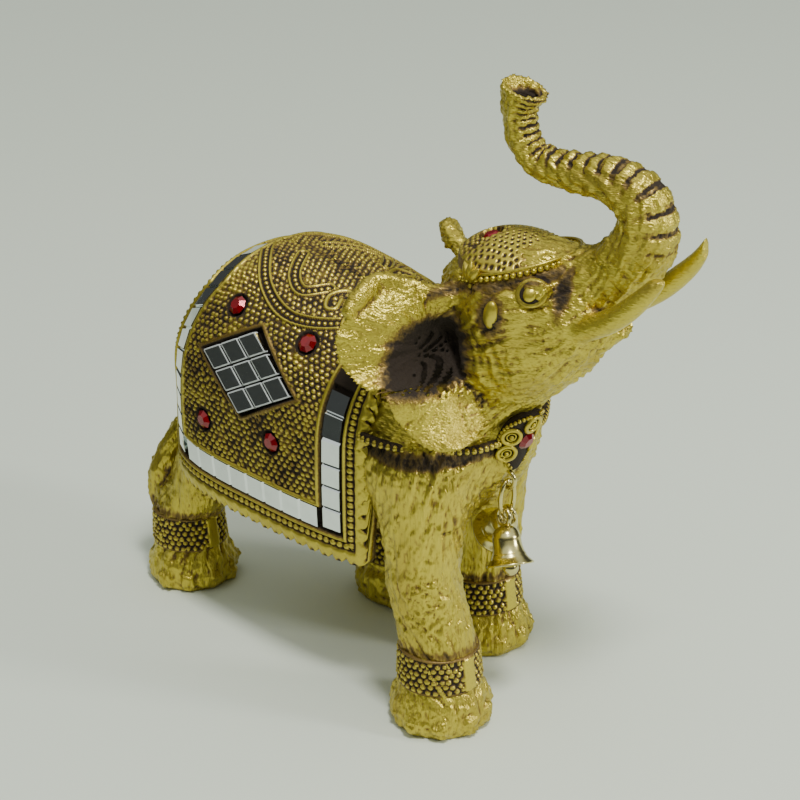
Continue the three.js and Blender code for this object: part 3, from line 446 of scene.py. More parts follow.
def ear_rings(side, steps_out=30, steps_down=60):
    """An ear: a sheet between its root and its rim, bowed out, dipped at the pit, wavy towards the rim."""
    shift, spread = EARS[side]
    v = np.linspace(0, 1, steps_down + 1)
    u = np.linspace(0, 1, steps_out + 1)[None, :]
    root = between(EAR_ROOT, v)[:, None]
    rim = between(EAR_RIM, v)[:, None] * np.array((1, spread, 1))
    v = v[:, None]
    far = ((u - 0.22) / 0.2) ** 2 + ((v - 0.42) / 0.19) ** 2
    bow = 2.6 * np.sin(np.pi * u) * (0.4 + 0.6 * v) - 9.5 * np.exp(-far)
    wave = 0.5 * np.sin(v * 21 + 1) * step_up(0.45, 1, u)
    sheet = root + u[..., None] * (rim - root)
    thin = EAR_THICKNESS * (1 - 0.4 * u)
    outer = sheet + np.stack((0 * bow, bow + wave, 0 * bow), -1)
    inner = sheet + np.stack((0 * bow + 0.3, bow + wave - thin, 0 * bow), -1)
    rings = np.concatenate((outer, inner[:, ::-1]), axis=1)
    rings = rings * np.array((1, side, 1)) + np.array((shift[0], 0, shift[1]))
    return head_turn(rings)


def ear_fold_rings(side):
    """The rolled upper edge of an ear."""
    shift, spread = EARS[side]
    rows = np.array(EAR_FOLD, float)
    rows[1:, 1] *= spread
    rows[:, 1] *= side
    rows[:, 0] += shift[0]
    rows[:, 2] += shift[1]
    return head_turn(limb(np.hstack((rows, rows[:, 3:4])), 40, 20, ACROSS))


def head_ball(place, radii, lean=0.0):
    """An ellipsoid's skin at a place of the turned head."""
    return tube(head_turn(ball(place, radii, lean)))


def body_parts():
    """What the body is joined from: (skin, blend)."""
    yield tube(barrel_rings()), 0
    yield tube(limb(NECK, 40, 64, ACROSS)), 5
    for foot, knee, hip, hip_z, thick in LEGS.values():
        yield tube(limb(leg_rows(foot, knee, hip, hip_z, thick), 70, 56, ACROSS)), 4.5
        out = TOE_OUT * thick
        for turn in TOE_TURNS:
            a = math.radians(turn if foot[1] < 0 else -turn)
            middle = (foot[0] + out * math.cos(a), foot[1] + out * math.sin(a), TOE_Z)
            yield tube(ball(middle, TOE_RADII)), 0.5
    yield tube(limb(TAIL, 60, 24, FORWARD)), 1.5


def head_parts():
    """What the head is joined from: (skin, blend)."""
    yield head_ball((8.5, 0, 86.6), (16, 12.2, 11.6), 4), 3
    yield tube(head_turn(limb(JAW, 50, 56, ACROSS))), 3
    yield tube(head_turn(limb(FACE, 40, 56, ACROSS))), 3
    yield tube(head_turn(limb(TRUNK, 150, 48, ACROSS))), 2.2
    for side in (-1, 1):
        yield head_ball((19, side * 5.2, 85.8), (9, 5, 6.4), 24), 2.5
        yield head_ball((16.6, side * 9.4, 93.2), (3.9, 1.9, 2.3), 16), 1.2
        yield head_ball((10, side * 10.4, 86.5), (6, 2.6, 4.2), 30), 3
        rows = np.array(TUSK) * (1, side, 1, 1, 1)
        yield tube(head_turn(limb(rows, 40, 24, ACROSS))), 0.6


def hide_field(low, high, pitch):
    """The hide's distances: body, hollows behind the ears, head, nostril, joined in that order."""
    field = Field(low, high, pitch)
    for skin, blend in body_parts():
        field.join(skin, blend)
    for side, (shift, _) in EARS.items():
        place = (-2 + shift[0], side * 16, 79.4 + shift[1])
        field.carve(head_ball(place, (7.4, 9.5, 6.2), -38), 1.2)
    for skin, blend in head_parts():
        field.join(skin, blend)
    x, _, z = TRUNK[-1][:3]
    cone = [[x - 0.2, 0, z - 5, 0.8, 0.8], [x, 0, z - 1.4, 2.4, 2.5], [x + 0.1, 0, z + 0.8, 3.7, 3.9]]
    field.carve(tube(head_turn(limb(cone, 12, 24, ACROSS))), 0.4)
    return field


def flow_lines():
    """Sample places on the limbs' middle lines, their directions and radii, for the strokes to follow."""
    tables = [(TRUNK, True), (FACE, True), (JAW, True), (NECK, False), (TAIL, False)]
    tables += [(leg_rows(*leg), False) for leg in LEGS.values()]
    spine = [[r[0], 0, (r[2] + r[3]) / 2, r[1], r[1]] for r in BARREL]
    tables.append((spine, False))
    places, ways, radii = [], [], []
    for rows, turned in tables:
        t = np.linspace(0, 1, 24)
        table = between(rows, t)
        spots = head_turn(table[:, :3]) if turned else table[:, :3]
        places.append(spots)
        ways.append(np.gradient(spots, axis=0))
        radii.append(table[:, 3])
    return np.concatenate(places), unit(np.concatenate(ways)), np.concatenate(radii)


def flow_of(points, normals):
    """The direction of the modelled hair and wrinkles at each point, in the surface.

    The nearest limb's middle line gives it; on the ears it runs out from the pit. Noise turns it a little.
    """
    places, ways, radii = flow_lines()
    flow = np.empty_like(points)
    for start in range(0, len(points), 20000):
        part = points[start:start + 20000]
        gap = np.linalg.norm(part[:, None] - places[None], axis=-1) - radii
        weight = np.exp(-np.clip(gap - gap.min(1, keepdims=True), 0, 8) / 1.2)
        flow[start:start + 20000] = weight @ ways
    head = head_back(points)
    side = np.sign(head[:, 1])
    pit = head_turn(np.stack((-2 - 6.6 * (side > 0), side * 13.5, 78 + 0 * side), -1))
    on_ear = step_up(13.5, 17, np.abs(head[:, 1])) * (head[:, 2] > 60.5) * (head[:, 0] < 9)
    flow = unit(flow) * (1 - on_ear[:, None]) + unit(points - pit) * on_ear[:, None]
    for centre in KNEE_SWIRLS:
        off = points - np.array(centre)
        near = np.exp(-((off ** 2).sum(-1, keepdims=True) / 5.2 ** 2) ** 2)
        flow = flow * (1 - near) + unit(np.cross(normals, off)) * near
    flow = unit(flow - normals * (flow * normals).sum(-1, keepdims=True))
    turn = 0.7 * noise(points, 11, 5) * (1 - 0.5 * on_ear)
    return unit(flow * np.cos(turn)[:, None] + np.cross(normals, flow) * np.sin(turn)[:, None]), on_ear


def nearest_on(points, rows, samples=160):
    """For each point the share along a head limb's middle line, its distance from it and its side."""
    t = np.linspace(0, 1, samples)
    spots = between(rows, t)[:, :3]
    share, gap, lift = np.empty(len(points)), np.empty(len(points)), np.empty(len(points))
    ways = unit(np.gradient(spots, axis=0))
    outward = np.cross(ACROSS, ways)
    for start in range(0, len(points), 20000):
        part = points[start:start + 20000]
        far = np.linalg.norm(part[:, None] - spots[None], axis=-1)
        k = far.argmin(1)
        share[start:start + 20000] = t[k]
        gap[start:start + 20000] = far.min(1)
        lift[start:start + 20000] = (unit(part - spots[k]) * outward[k]).sum(-1)
    return share, gap, lift


def trunk_marks(points):
    """Ribs across the trunk's outer side: (height, darkness), from the share along its middle line."""
    head = head_back(points)
    share, gap, lift = nearest_on(head, TRUNK)
    radius = between(TRUNK, share)[:, 3]
    on_trunk = step_up(0.16, 0.3, share) * step_up(1.5, 0.6, gap - radius) * (share < 0.995)
    wave = np.sin(share * 2 * np.pi * 31 + 0.8 * noise(points, 4, 9))
    ribs = np.clip(wave, -1, 0.35)
    height = 0.3 * on_trunk * ribs * (0.35 + 0.65 * step_up(-0.2, 0.6, lift))
    bars = step_up(-0.35, -0.85, wave) * step_up(0.25, 0.8, lift) * step_up(0.3, 0.42, share)
    line = np.exp(-((lift + 0.05) / 0.1) ** 2) * step_up(0.3, 0.4, share)
    return height + 0.22 * line * on_trunk, on_trunk * (0.85 * bars), on_trunk


def wash_and_shade_spots(points):
    """Dark paint left in the deep places, and painted shade on the neck behind the ears and on the legs just
    above the anklets: spots as (place, radii, strength) in the head's own directions.
    """
    head = head_back(points)
    total = np.zeros(len(points))
    spots = []
    for side, (shift, _) in EARS.items():
        pit = (PIT_PLACE[0] + shift[0], side * PIT_PLACE[1], PIT_PLACE[2] + shift[1])
        spots.append(((pit[0] + 0.8, pit[1], pit[2] - 0.7), (5.7, 17, 6.6), 1.7))
        # Painted shade on the neck behind the ear, where the ear covers it.
        spots.append(((pit[0] - 4.4, side * 5.5, pit[2] - 5), (6, 8.5, 6.5), 1.7))
        spots.append(((22.2, side * 8, 94), (1.5, 4, 5.2), 0.85))
        spots.append(((10.4, side * 12, 87.4), (3.0, 3.6, 4.0), 0.9))
    for place, radii, strength in spots:
        far = (((head - np.array(place)) / np.array(radii)) ** 2).sum(-1)
        total += strength * np.exp(-(far ** 2)) * (1 + 0.3 * noise(points, 1.6, 21))
    tip = np.linalg.norm(head - np.array((8.4, 0, 125.2)), axis=-1)
    total += 1.4 * step_up(3.4, 1.6, tip)
    collar = np.exp(-((points[:, 2] - 57.2 - 0.6 * noise(points * (1, 1, 0.2), 0.9, 4)) / 1.5) ** 4)
    total += 0.7 * collar * (points[:, 0] > -9) * (points[:, 2] < 61)
    # Painted shade on the legs just above the anklets, where the bands meet the hide.
    total += 0.4 * np.exp(-((points[:, 2] - 17.4) / 1.1) ** 2)
    rim = CAP_EDGE_Z + (head[:, 0] - CAP_MIDDLE[0]) * math.tan(CAP_SLOPE)
    under_cap = np.exp(-((head[:, 2] - rim + 1.3) / 1.1) ** 2) * (head[:, 0] > -3) * (head[:, 0] < 21)
    return total + 0.6 * under_cap * (head[:, 2] > 86)


def dress_hide(points, quads):
    """Cuts strokes, folds and ribs into the hide: its points, their darkening from dark paint and painted
    shade, and the places of its grain.

    The height is a weighted sum of three widths of streaks, less the creases where a streak is near nought,
    and of the folds across them. The darkening is dark paint, strongest in creases and wherever the skin lies
    hollow, and painted shade as well in the broad hollows.
    """
    sizes = bpy.context.scene.figurine
    normals = normals_of(points, quads)
    flow, on_ear = flow_of(points, normals)
    marks, bars, on_trunk = trunk_marks(points)
    head = head_back(points)
    pit = sum(
        np.exp(-(((head - PIT_PLACE * (1, side, 1) - (shift[0], 0, shift[1])) ** 2).sum(-1) / 36) ** 2)
        for side, (shift, _) in EARS.items()
    )
    soft = (1 - 0.3 * on_trunk) * (1 - 0.85 * np.clip(pit, 0, 1)) * (1 - 0.4 * on_ear)
    on_tusk = np.zeros(len(points))
    for side in (-1, 1):
        share, gap, _ = nearest_on(head, np.array(TUSK) * (1, side, 1, 1, 1), 60)
        on_tusk = np.maximum(on_tusk, step_up(0.7, 0.3, gap - between(TUSK, share)[:, 3]))
    soft *= 1 - 0.93 * on_tusk
    flat = step_up(0.2, 1.2, points[:, 2])
    coarse = streaks(points, flow, 0.82, 4.4, 1)
    fine = streaks(points, flow, 0.56, 3.0, 2)
    broad = streaks(points, flow, 1.7, 6.0, 6)
    crease = step_up(0.3, 0.0, np.abs(coarse)) * 0.7 + step_up(0.22, 0.0, np.abs(fine)) * 0.5
    across = unit(np.cross(normals, flow))
    folds = streaks(points, across, 1.1, 2.6, 3) * step_up(0.1, 0.9, noise(points, 13, 8) + 0.45)
    depth = sizes.stroke_depth / MM
    height = depth * soft * (1.05 * coarse + 0.6 * fine + 0.35 * broad - 0.4 * crease)
    height += depth * 0.55 * soft * (1 - on_ear) * folds + marks * (1 - on_tusk)
    moved = points + normals * (height * flat)[:, None]
    moved[:, 2] = np.maximum(moved[:, 2], 0)
    hollow = hollows_of(moved, quads, normals, 6)
    # Painted shade in the broad hollows, on top of the dark paint in the creases.
    wide = hollows_of(points, quads, normals, 44)
    wash_and_shade = 0.16 * crease * soft + 1.7 * np.clip(hollow - 0.01, 0, 1) + 0.8 * np.clip(wide - 0.1, 0, 1)
    wash_and_shade += (bars + wash_and_shade_spots(points)) * (1 - on_tusk) - 0.08 - 0.25 * on_tusk
    high = points[:, 2] > CUT_Z
    grain = np.where(high[:, None], head * (0.28, 1, 1), points * (1, 1, 0.2)) * MM
    return moved, np.clip(wash_and_shade, 0, 1), grain


def beyond(part, x, z):
    """How far each place lies outside a part of the hide; the parts meet under the necklace and the cloth."""
    front = np.maximum(CUT_Z - z, CUT_X - x)
    return {
        "trunk": np.maximum(front, TRUNK_CUT_Z - z),
        "head": np.maximum(front, z - TRUNK_CUT_Z),
        "fore": np.maximum(-front, BARREL_CUT_X - x),
        "barrel": np.maximum(np.maximum(-front, x - BARREL_CUT_X), HIND_CUT_Z - z),
        "hind": np.maximum(x - BARREL_CUT_X, z - HIND_CUT_Z),
    }[part]


def make_hide(material):
    """The skins of the casting, each of its own fineness; each ends sunk under its neighbour."""
    pieces = []
    for part, (low, high, pitch) in HIDE_PARTS.items():
        field = hide_field(low, high, pitch)
        x, _, z = field.axes()
        out = beyond(part, x[:, None], z[None, :])[:, None, :]
        field.values = np.maximum(field.values + 0.5 * np.clip(out, 0, 1), out - 0.7).astype(np.float32)
        if part == "head":
            for side in EARS:
                field.join(tube(ear_rings(side)), 1.0)
                field.join(tube(ear_fold_rings(side)), 1.2)
        points, quads = field.surface()
        points, wash_and_shade, grain = dress_hide(points, quads)
        skin = points, quads, np.zeros((0, 3), int)
        pieces.append(build("hide_" + part, skin, material, wash_and_shade=wash_and_shade, grain=grain))
    return pieces


# The saddle cloth
CLOTH_FRONT_X, CLOTH_REAR_X, CLOTH_BULGE, CLOTH_BULGE_FROM = -8.4, -60.0, 7.6, 0.25
CLOTH_HEM_Z, CLOTH_DROP_Z, CLOTH_SHOULDER, CLOTH_SQUARENESS, CLOTH_OVER = 32.4, 54.0, 0.6, 2.35, 1.5
CLOTH_THICKNESS = 2.0
SCALLOP_PITCH = 3.2
STRIP_HALF = 2.15 + 0.3
CHANNEL_FLOOR = -1.15
BORDER_INSET_P, BORDER_REAR_P, FRONT_TOP_Q = 0.115, 0.93, 0.4
DIAMOND_PLACE = (0.535, 0.49)
DIAMOND_SLOPES = (30, -38)
DIAMOND_HALF = 8.25
STONE_PLACES = ((0.72, 0.31), (0.345, 0.305), (0.735, 0.705), (0.385, 0.66))
WIRE_ARCS = (
    ((0.9, 0.02), (0.815, 0.095), (0.665, 0.21), (0.49, 0.26), (0.32, 0.205), (0.2, 0.1)),
    ((0.69, 0.035), (0.61, 0.125), (0.52, 0.16), (0.45, 0.1)),
)
SCROLL = (
    (0.2, 0.12), (0.23, 0.18), (0.275, 0.19), (0.3, 0.14), (0.33, 0.08), (0.39, 0.07), (0.42, 0.12),
    (0.39, 0.165), (0.355, 0.15), (0.37, 0.11),
)
SHARES = np.linspace(0, 1, 2001)
BARREL_FINE = between(BARREL, SHARES)


def cloth_point(p, q, side, sunk=0.0):
    """A place on the cloth: p from its front edge 0 to its rear edge 1, q from the ridge 0 to the hem 1.

    Across, a superellipse quarter follows the back down to the drop, then the cloth hangs straight.
    """
    bulge = CLOTH_BULGE * np.sin(np.pi * np.maximum(q - CLOTH_BULGE_FROM, 0) / (1.2 - CLOTH_BULGE_FROM))
    x = CLOTH_FRONT_X + p * (CLOTH_REAR_X - bulge - CLOTH_FRONT_X)
    half, top = (np.interp(x, BARREL_FINE[:, 0], BARREL_FINE[:, k]) for k in (1, 2))
    angle = np.minimum(q / CLOTH_SHOULDER, 1) * (np.pi / 2)
    y = side * (half + CLOTH_OVER - sunk) * power(np.sin(angle), 2 / CLOTH_SQUARENESS)
    rounding = power(np.maximum(np.cos(angle), 0), 2 / CLOTH_SQUARENESS)
    crown = (top + CLOTH_OVER - sunk - CLOTH_DROP_Z) * rounding
    below = np.maximum(q - CLOTH_SHOULDER, 0) / (1 - CLOTH_SHOULDER)
    z = CLOTH_DROP_Z + np.where(q < CLOTH_SHOULDER, crown, below * (CLOTH_HEM_Z - CLOTH_DROP_Z))
    return np.stack((x, y, z), -1)


def cloth_normal(p, q, side):
    """The cloth's outward direction."""
    e = 0.006
    along = cloth_point(p + e, q, side) - cloth_point(p - e, q, side)
    down = cloth_point(p, q + e, side) - cloth_point(p, np.abs(q - e), side * np.sign(q - e + 1e-12))
    return unit(np.cross(down, along)) * side


def ridge(d, half, high):
    """A round ridge along d = 0."""
    return high * np.sqrt(np.clip(1 - (d / half) ** 2, 0, 1))


def bead_row(along, across, pitch, radius, high):
    """Round beads in a row along the first distance."""
    a = along - np.round(along / pitch) * pitch
    return high * np.sqrt(np.clip(1 - (a ** 2 + across ** 2) / radius ** 2, 0, 1))


def bead_field(u, v, pitch, radius, high, seed):
    """Beads in two interleaved lattices, each a little off its place and a little larger or smaller."""
    best = np.zeros_like(u)
    for k, (du, dv) in enumerate(((0, 0), (0.5, 0.5))):
        cu, cv = np.round(u / pitch - du), np.round(v / (pitch * 1.6) - dv)
        spot = np.stack((cu, cv, np.full_like(cu, k)), -1) * 7.31
        jitter = [0.2 * pitch * noise(spot + 3.3, 1.7, seed + m) for m in range(2)]
        a = u - (cu + du) * pitch - jitter[0]
        b = v - (cv + dv) * pitch * 1.6 - jitter[1]
        size = radius * (1 + 0.16 * noise(spot, 2.3, seed + 5))
        best = np.maximum(best, high * np.sqrt(np.clip(1 - (a * a + b * b) / size ** 2, 0, 1)))
    return best


def line_gap(u, v, places):
    """Distance from a smooth line through the places, and how far along it the nearest place is."""
    line = between(places, np.linspace(0, 1, 80))
    gap, along = np.full(u.shape, 99.0), np.zeros(u.shape)
    run = np.concatenate(((0,), np.cumsum(np.linalg.norm(np.diff(line, axis=0), axis=1))))
    for k in range(len(line) - 1):
        (a, b), (c, d) = line[k], line[k + 1]
        length = math.hypot(c - a, d - b) + 1e-9
        t = np.clip(((u - a) * (c - a) + (v - b) * (d - b)) / length ** 2, 0, 1)
        far = np.hypot(u - a - t * (c - a), v - b - t * (d - b))
        near = far < gap
        gap = np.where(near, far, gap)
        along = np.where(near, run[k] + t * length, along)
    return gap, along


def cloth_relief(p, q, side):
    """The cloth's height over its base, and its dark wash.

    u and v are millimetres from the front edge and down from the ridge. Beads fill the field. Over them lie
    raised double wires with beads between, a scroll, the sunk diamond, the stones' sinkings, and the border
    of ridges, bead rows and the channel for the mirror strips.
    """
    fine_q = np.linspace(0, 1.06, 400)
    run = cloth_point(np.full(400, 0.5), fine_q, side)
    run = np.concatenate(((0,), np.cumsum(np.linalg.norm(np.diff(run, axis=0), axis=1))))

    def deep(value):
        """Millimetres down from the ridge at a share q."""
        return np.interp(value, fine_q, run)

    length = CLOTH_FRONT_X - CLOTH_REAR_X + 2
    u, v = p * length, deep(q)
    hem = deep(1.0)
    height = bead_field(u, v, 1.42, 0.5, 0.5, 3)
    worn = noise(np.stack((u, v, 0 * u + 3), -1), 6, 15) + 0.5 * noise(np.stack((u, v, 0 * u), -1), 1.5, 16)
    wash_and_shade = (0.72 - 0.4 * step_up(0.15, 0.7, worn)) * (1 - step_up(0.05, 0.32, height))
    wash_and_shade += 0.3 * step_up(0.1, 0.8, -worn)
    scattered = step_up(0.1, 0.5, noise(np.stack((u, v, 0 * u), -1), 9, 12))
    height *= 1 - 0.35 * scattered
    for places in WIRE_ARCS:
        gap, along = line_gap(u, v, [(a * length, float(deep(b))) for a, b in places])
        band = gap < 1.6
        wires = ridge(gap - 1.15, 0.3, 0.6) + bead_row(along, gap, 1.3, 0.5, 0.5)
        height = np.where(band, wires, height)
        wash_and_shade = np.where(band, 1 - step_up(0.05, 0.35, wires), wash_and_shade)
    gap, _ = line_gap(u, v, [(a * length, float(deep(b))) for a, b in SCROLL])
    band = gap < 0.7
    height = np.where(band, ridge(gap, 0.5, 0.6), height)
    wash_and_shade = np.where(band, 1 - step_up(0.05, 0.35, height), wash_and_shade)
    middle = cloth_point(*(np.array([c]) for c in DIAMOND_PLACE), side)[0]
    normal = cloth_normal(*(np.array([c]) for c in DIAMOND_PLACE), side)[0]
    level = unit(FORWARD - normal * normal[0])
    rise = unit(UP - normal * normal[2])
    ways = [level * math.cos(math.radians(a)) + rise * math.sin(math.radians(a)) for a in DIAMOND_SLOPES]
    flat = cloth_point(p, q, side) - middle
    skew = np.array(((1.0, ways[0] @ ways[1]), (ways[0] @ ways[1], 1.0)))
    solved = np.linalg.solve(skew, np.stack([(flat @ w).ravel() for w in ways])).reshape(2, *p.shape)
    edge = np.abs(solved).max(0) - DIAMOND_HALF
    near = (np.abs(flat @ normal) < 6) & (edge < 2)
    height = np.where(near & (edge < 1.1), ridge(edge - 0.6, 0.5, 0.4), height)
    wash_and_shade = np.where(near & (edge < 1.1), 0.35 + 0.6 * step_up(0.5, 0.1, edge), wash_and_shade)
    inside = near & (edge < 0.02)
    height = np.where(inside, CHANNEL_FLOOR + 0 * edge, height)
    wash_and_shade = np.where(inside, 1.0, wash_and_shade)
    for a, b in STONE_PLACES:
        spot = cloth_point(np.array([a]), np.array([b]), side)[0]
        far = np.linalg.norm(cloth_point(p, q, side) - spot, axis=-1)
        height = np.where(far < 2.7, 0.1 * step_up(2.7, 2.4, far), height)
        wash_and_shade = np.where(far < 2.7, 0.9, wash_and_shade)
        height = np.where(far < 2.32, -0.86, height)
    front, low, rear = u, hem - v, (1 - p) * length
    inset, inset_rear = BORDER_INSET_P * length, (1 - BORDER_REAR_P) * length
    front_on = q > FRONT_TOP_Q - 0.02
    border = np.minimum(np.minimum(front, low), rear + inset - inset_rear)
    runs = np.where(border == low, u, v)
    inner = inset + STRIP_HALF + 1.0
    on_border = border < inner
    profile = ridge(border - 0.9, 0.45, 0.5) + ridge(border - 3.3, 0.4, 0.5)
    profile = np.maximum(profile, bead_row(runs, border - 2.1, 1.5, 0.68, 0.62))
    profile = np.maximum(profile, ridge(border - inner + 0.45, 0.45, 0.55))
    scallop_holes = bead_row(runs + SCALLOP_PITCH / 2, border + 0.1, SCALLOP_PITCH, 0.55, 1.0)
    strip = (np.abs(border - inset) < STRIP_HALF) & (front_on | (border != front) | (low < inner))
    profile = np.where(strip, CHANNEL_FLOOR, profile)
    height = np.where(on_border, profile, height)
    wash_and_shade = np.where(on_border, 1 - step_up(0.02, 0.32, profile), wash_and_shade)
    wash_and_shade = np.where(on_border & (border < 0.6), scallop_holes, wash_and_shade)
    height = np.where(on_border & (border < 0.45), 0.25 - 0.5 * scallop_holes, height)
    return height, np.clip(wash_and_shade, 0, 1)


def scallop(along):
    """How far the hem's scallops stand out, 0 to 1, at millimetres along it."""
    return np.abs(np.sin(np.pi * along / SCALLOP_PITCH)) ** 0.7


def cloth_half(side, pitch):
    """One half of the cloth as a closed slab: relief outside, plain inside, its edges scalloped."""
    n, m = int(56 / pitch), int(66 / pitch)
    p, q = np.meshgrid(np.linspace(0, 1, n), np.linspace(0, 1, m), indexing="ij")
    relief, wash_and_shade = cloth_relief(p, q, side)
    q_out = q + 0.036 * step_up(0.97, 1, q) * scallop(p * 53.6)
    p_out = p - 0.022 * step_up(0.03, 0, p) * scallop(q * 62) * step_up(0.3, 0.4, q)
    base = cloth_point(p_out, q_out, side)
    normal = cloth_normal(p_out, np.maximum(q_out, 0.004), side)
    outer = base + normal * relief[..., None]
    inner = cloth_point(p_out, q_out, side, CLOTH_THICKNESS)[:, ::-8]
    rings = np.concatenate((outer, inner), axis=1)
    skin = tube(rings)
    dark = np.concatenate((wash_and_shade, np.full(inner.shape[:2], 0.5)), axis=1).ravel()
    return skin, np.concatenate((dark, (0.5, 0.5)))


def make_cloth(material):
    """The saddle cloth's two halves, meeting on the ridge."""
    pitch = 0.245
    pieces = []
    for word, side in (("right", -1), ("left", 1)):
        skin, wash_and_shade = cloth_half(side, pitch)
        pieces.append(build("cloth_" + word, skin, material, wash_and_shade=wash_and_shade))
    return pieces


# Jewellery in the casting
STRAP = [
    [-8, 22.2, 59.6], [-3, 21.2, 59.3], [2, 18.2, 58.8],
    [6.4, 13.4, 58.4], [9.8, 8.6, 58.4], [11.2, 5, 59],
]
MEDALLION_PLACE = np.array((14, 0, 58.6))
MEDALLION_LEAN = math.radians(20)
MEDALLION_BEND = 6.5
MEDALLION_ROWS = [[-7.6, 0.8], [-5, 3.2], [-2.4, 5.4], [0.6, 6.4], [3.4, 5.8], [5.4, 3.8], [6.4, 1.4]]
MEDALLION_THICKNESS = 2.6
ROSETTES = ((0, 4.2), (-3.9, 1.6), (3.9, 1.6), (-3.7, -2.6), (3.7, -2.6))


def torus(radius, wire, around=20, sides=8):
    """A ring in the YZ plane, facing X."""
    a = (np.arange(around) * 2 * np.pi / around)[:, None]
    b = (np.arange(sides) * 2 * np.pi / sides)[None, :]
    out = radius + wire * np.cos(b)
    return np.stack((wire * np.sin(b) + 0 * a, out * np.cos(a), out * np.sin(a)), -1)


def on_medallion(across, up, out):
    """A place of the medallion: across it along its bend, up it, and out from its face."""
    angle = np.asarray(across) / MEDALLION_BEND
    radius = MEDALLION_BEND + out
    return np.stack((radius * np.cos(angle) - MEDALLION_BEND, radius * np.sin(angle), up + 0 * angle), -1)


def hang_medallion(points):
    """Leans the medallion forward at the top and puts it on the chest."""
    c, s = math.cos(MEDALLION_LEAN), math.sin(MEDALLION_LEAN)
    x, y, z = np.moveaxis(points, -1, 0)
    return np.stack((x * c + z * s, y, z * c - x * s), -1) + MEDALLION_PLACE


def make_medallion(material):
    """The drop-shaped plate bent round the chest, with edge beads and rosettes of two rings and a bead."""
    rows = between(MEDALLION_ROWS, np.linspace(0, 1, 40))
    share = np.linspace(-1, 1, 24)
    outer = on_medallion(rows[:, 1:2] * share, rows[:, :1], 0.0)
    inner = on_medallion(rows[:, 1:2] * share[::-1], rows[:, :1], -MEDALLION_THICKNESS)
    skins = [tube(hang_medallion(np.concatenate((outer, inner), axis=1)))]
    dark = [np.full(len(skins[0][0]), 0.85)]
    for across, up in ROSETTES:
        for radius, wire in ((1.75, 0.45), (0.9, 0.18)):
            ring = torus(radius, wire)
            a = across / MEDALLION_BEND
            c, s = math.cos(a), math.sin(a)
            x, y, z = np.moveaxis(ring, -1, 0)
            turned = np.stack((x * c - y * s, x * s + y * c, z), -1)
            skins.append(tube(hang_medallion(turned + on_medallion(across, up, 0.15)), closed=True))
            dark.append(np.zeros(len(skins[-1][0])))
    edge = np.concatenate([
        on_medallion(side * rows[3:, 1] * 0.94, rows[3:, 0], 0.05) for side in (-1, 1)
    ])
    centres = [on_medallion(a, b, 0.3) for a, b in ROSETTES]
    skins.append(beads(hang_medallion(edge[::2]), 0.42))
    skins.append(beads(hang_medallion(np.array(centres)), 0.5))
    dark += [np.full(len(skins[-2][0]), 0.1), np.full(len(skins[-1][0]), 0.0)]
    return build("medallion", together(skins), material, wash_and_shade=np.concatenate(dark))


def make_necklace(material):
    """The strap on each side: a dark band under a row of beads."""
    skins, dark = [], []
    for side in (-1, 1):
        rows = np.array(STRAP) * (1, side, 1)
        band = [[x, y, z, 0.8, 1.15] for x, y, z in rows]
        skins.append(tube(limb(band, 60, 14, UP)))
        dark.append(np.full(len(skins[-1][0]), 0.75))
        t = np.linspace(0.01, 0.99, 22)
        line = between(rows, t)
        way = unit(np.gradient(line, axis=0))
        out = unit(np.cross(way, UP)) * (-side)
        out = out * np.sign(out[:, 1] * side)[:, None]
        skins.append(beads(line + out * 0.7, 0.68))
        dark.append(np.full(len(skins[-1][0]), 0.12))
    return build("necklace", together(skins), material, wash_and_shade=np.concatenate(dark))


def cap_point(share, angle):
    """A place on the skull cap: share from its crown 0 to its rim 1, projected up onto the dome."""
    part = (CAP_EDGE_Z - CAP_MIDDLE[2]) / CAP_RADII[2]
    wide = CAP_RADII[:2] * math.sqrt(1 - part * part)
    x = wide[0] * share * np.cos(angle) * math.cos(CAP_SLOPE)
    y = wide[1] * share * np.sin(angle)
    room = np.clip(1 - (x / CAP_RADII[0]) ** 2 - (y / CAP_RADII[1]) ** 2, 0, 1)
    dome = CAP_MIDDLE[2] + CAP_RADII[2] * np.sqrt(room)
    plane = CAP_EDGE_Z + wide[0] * share * np.cos(angle) * math.sin(CAP_SLOPE)
    z = np.where(share > 0.98, plane, np.maximum(dome, plane))
    return np.stack((CAP_MIDDLE[0] + x, y, z), -1)


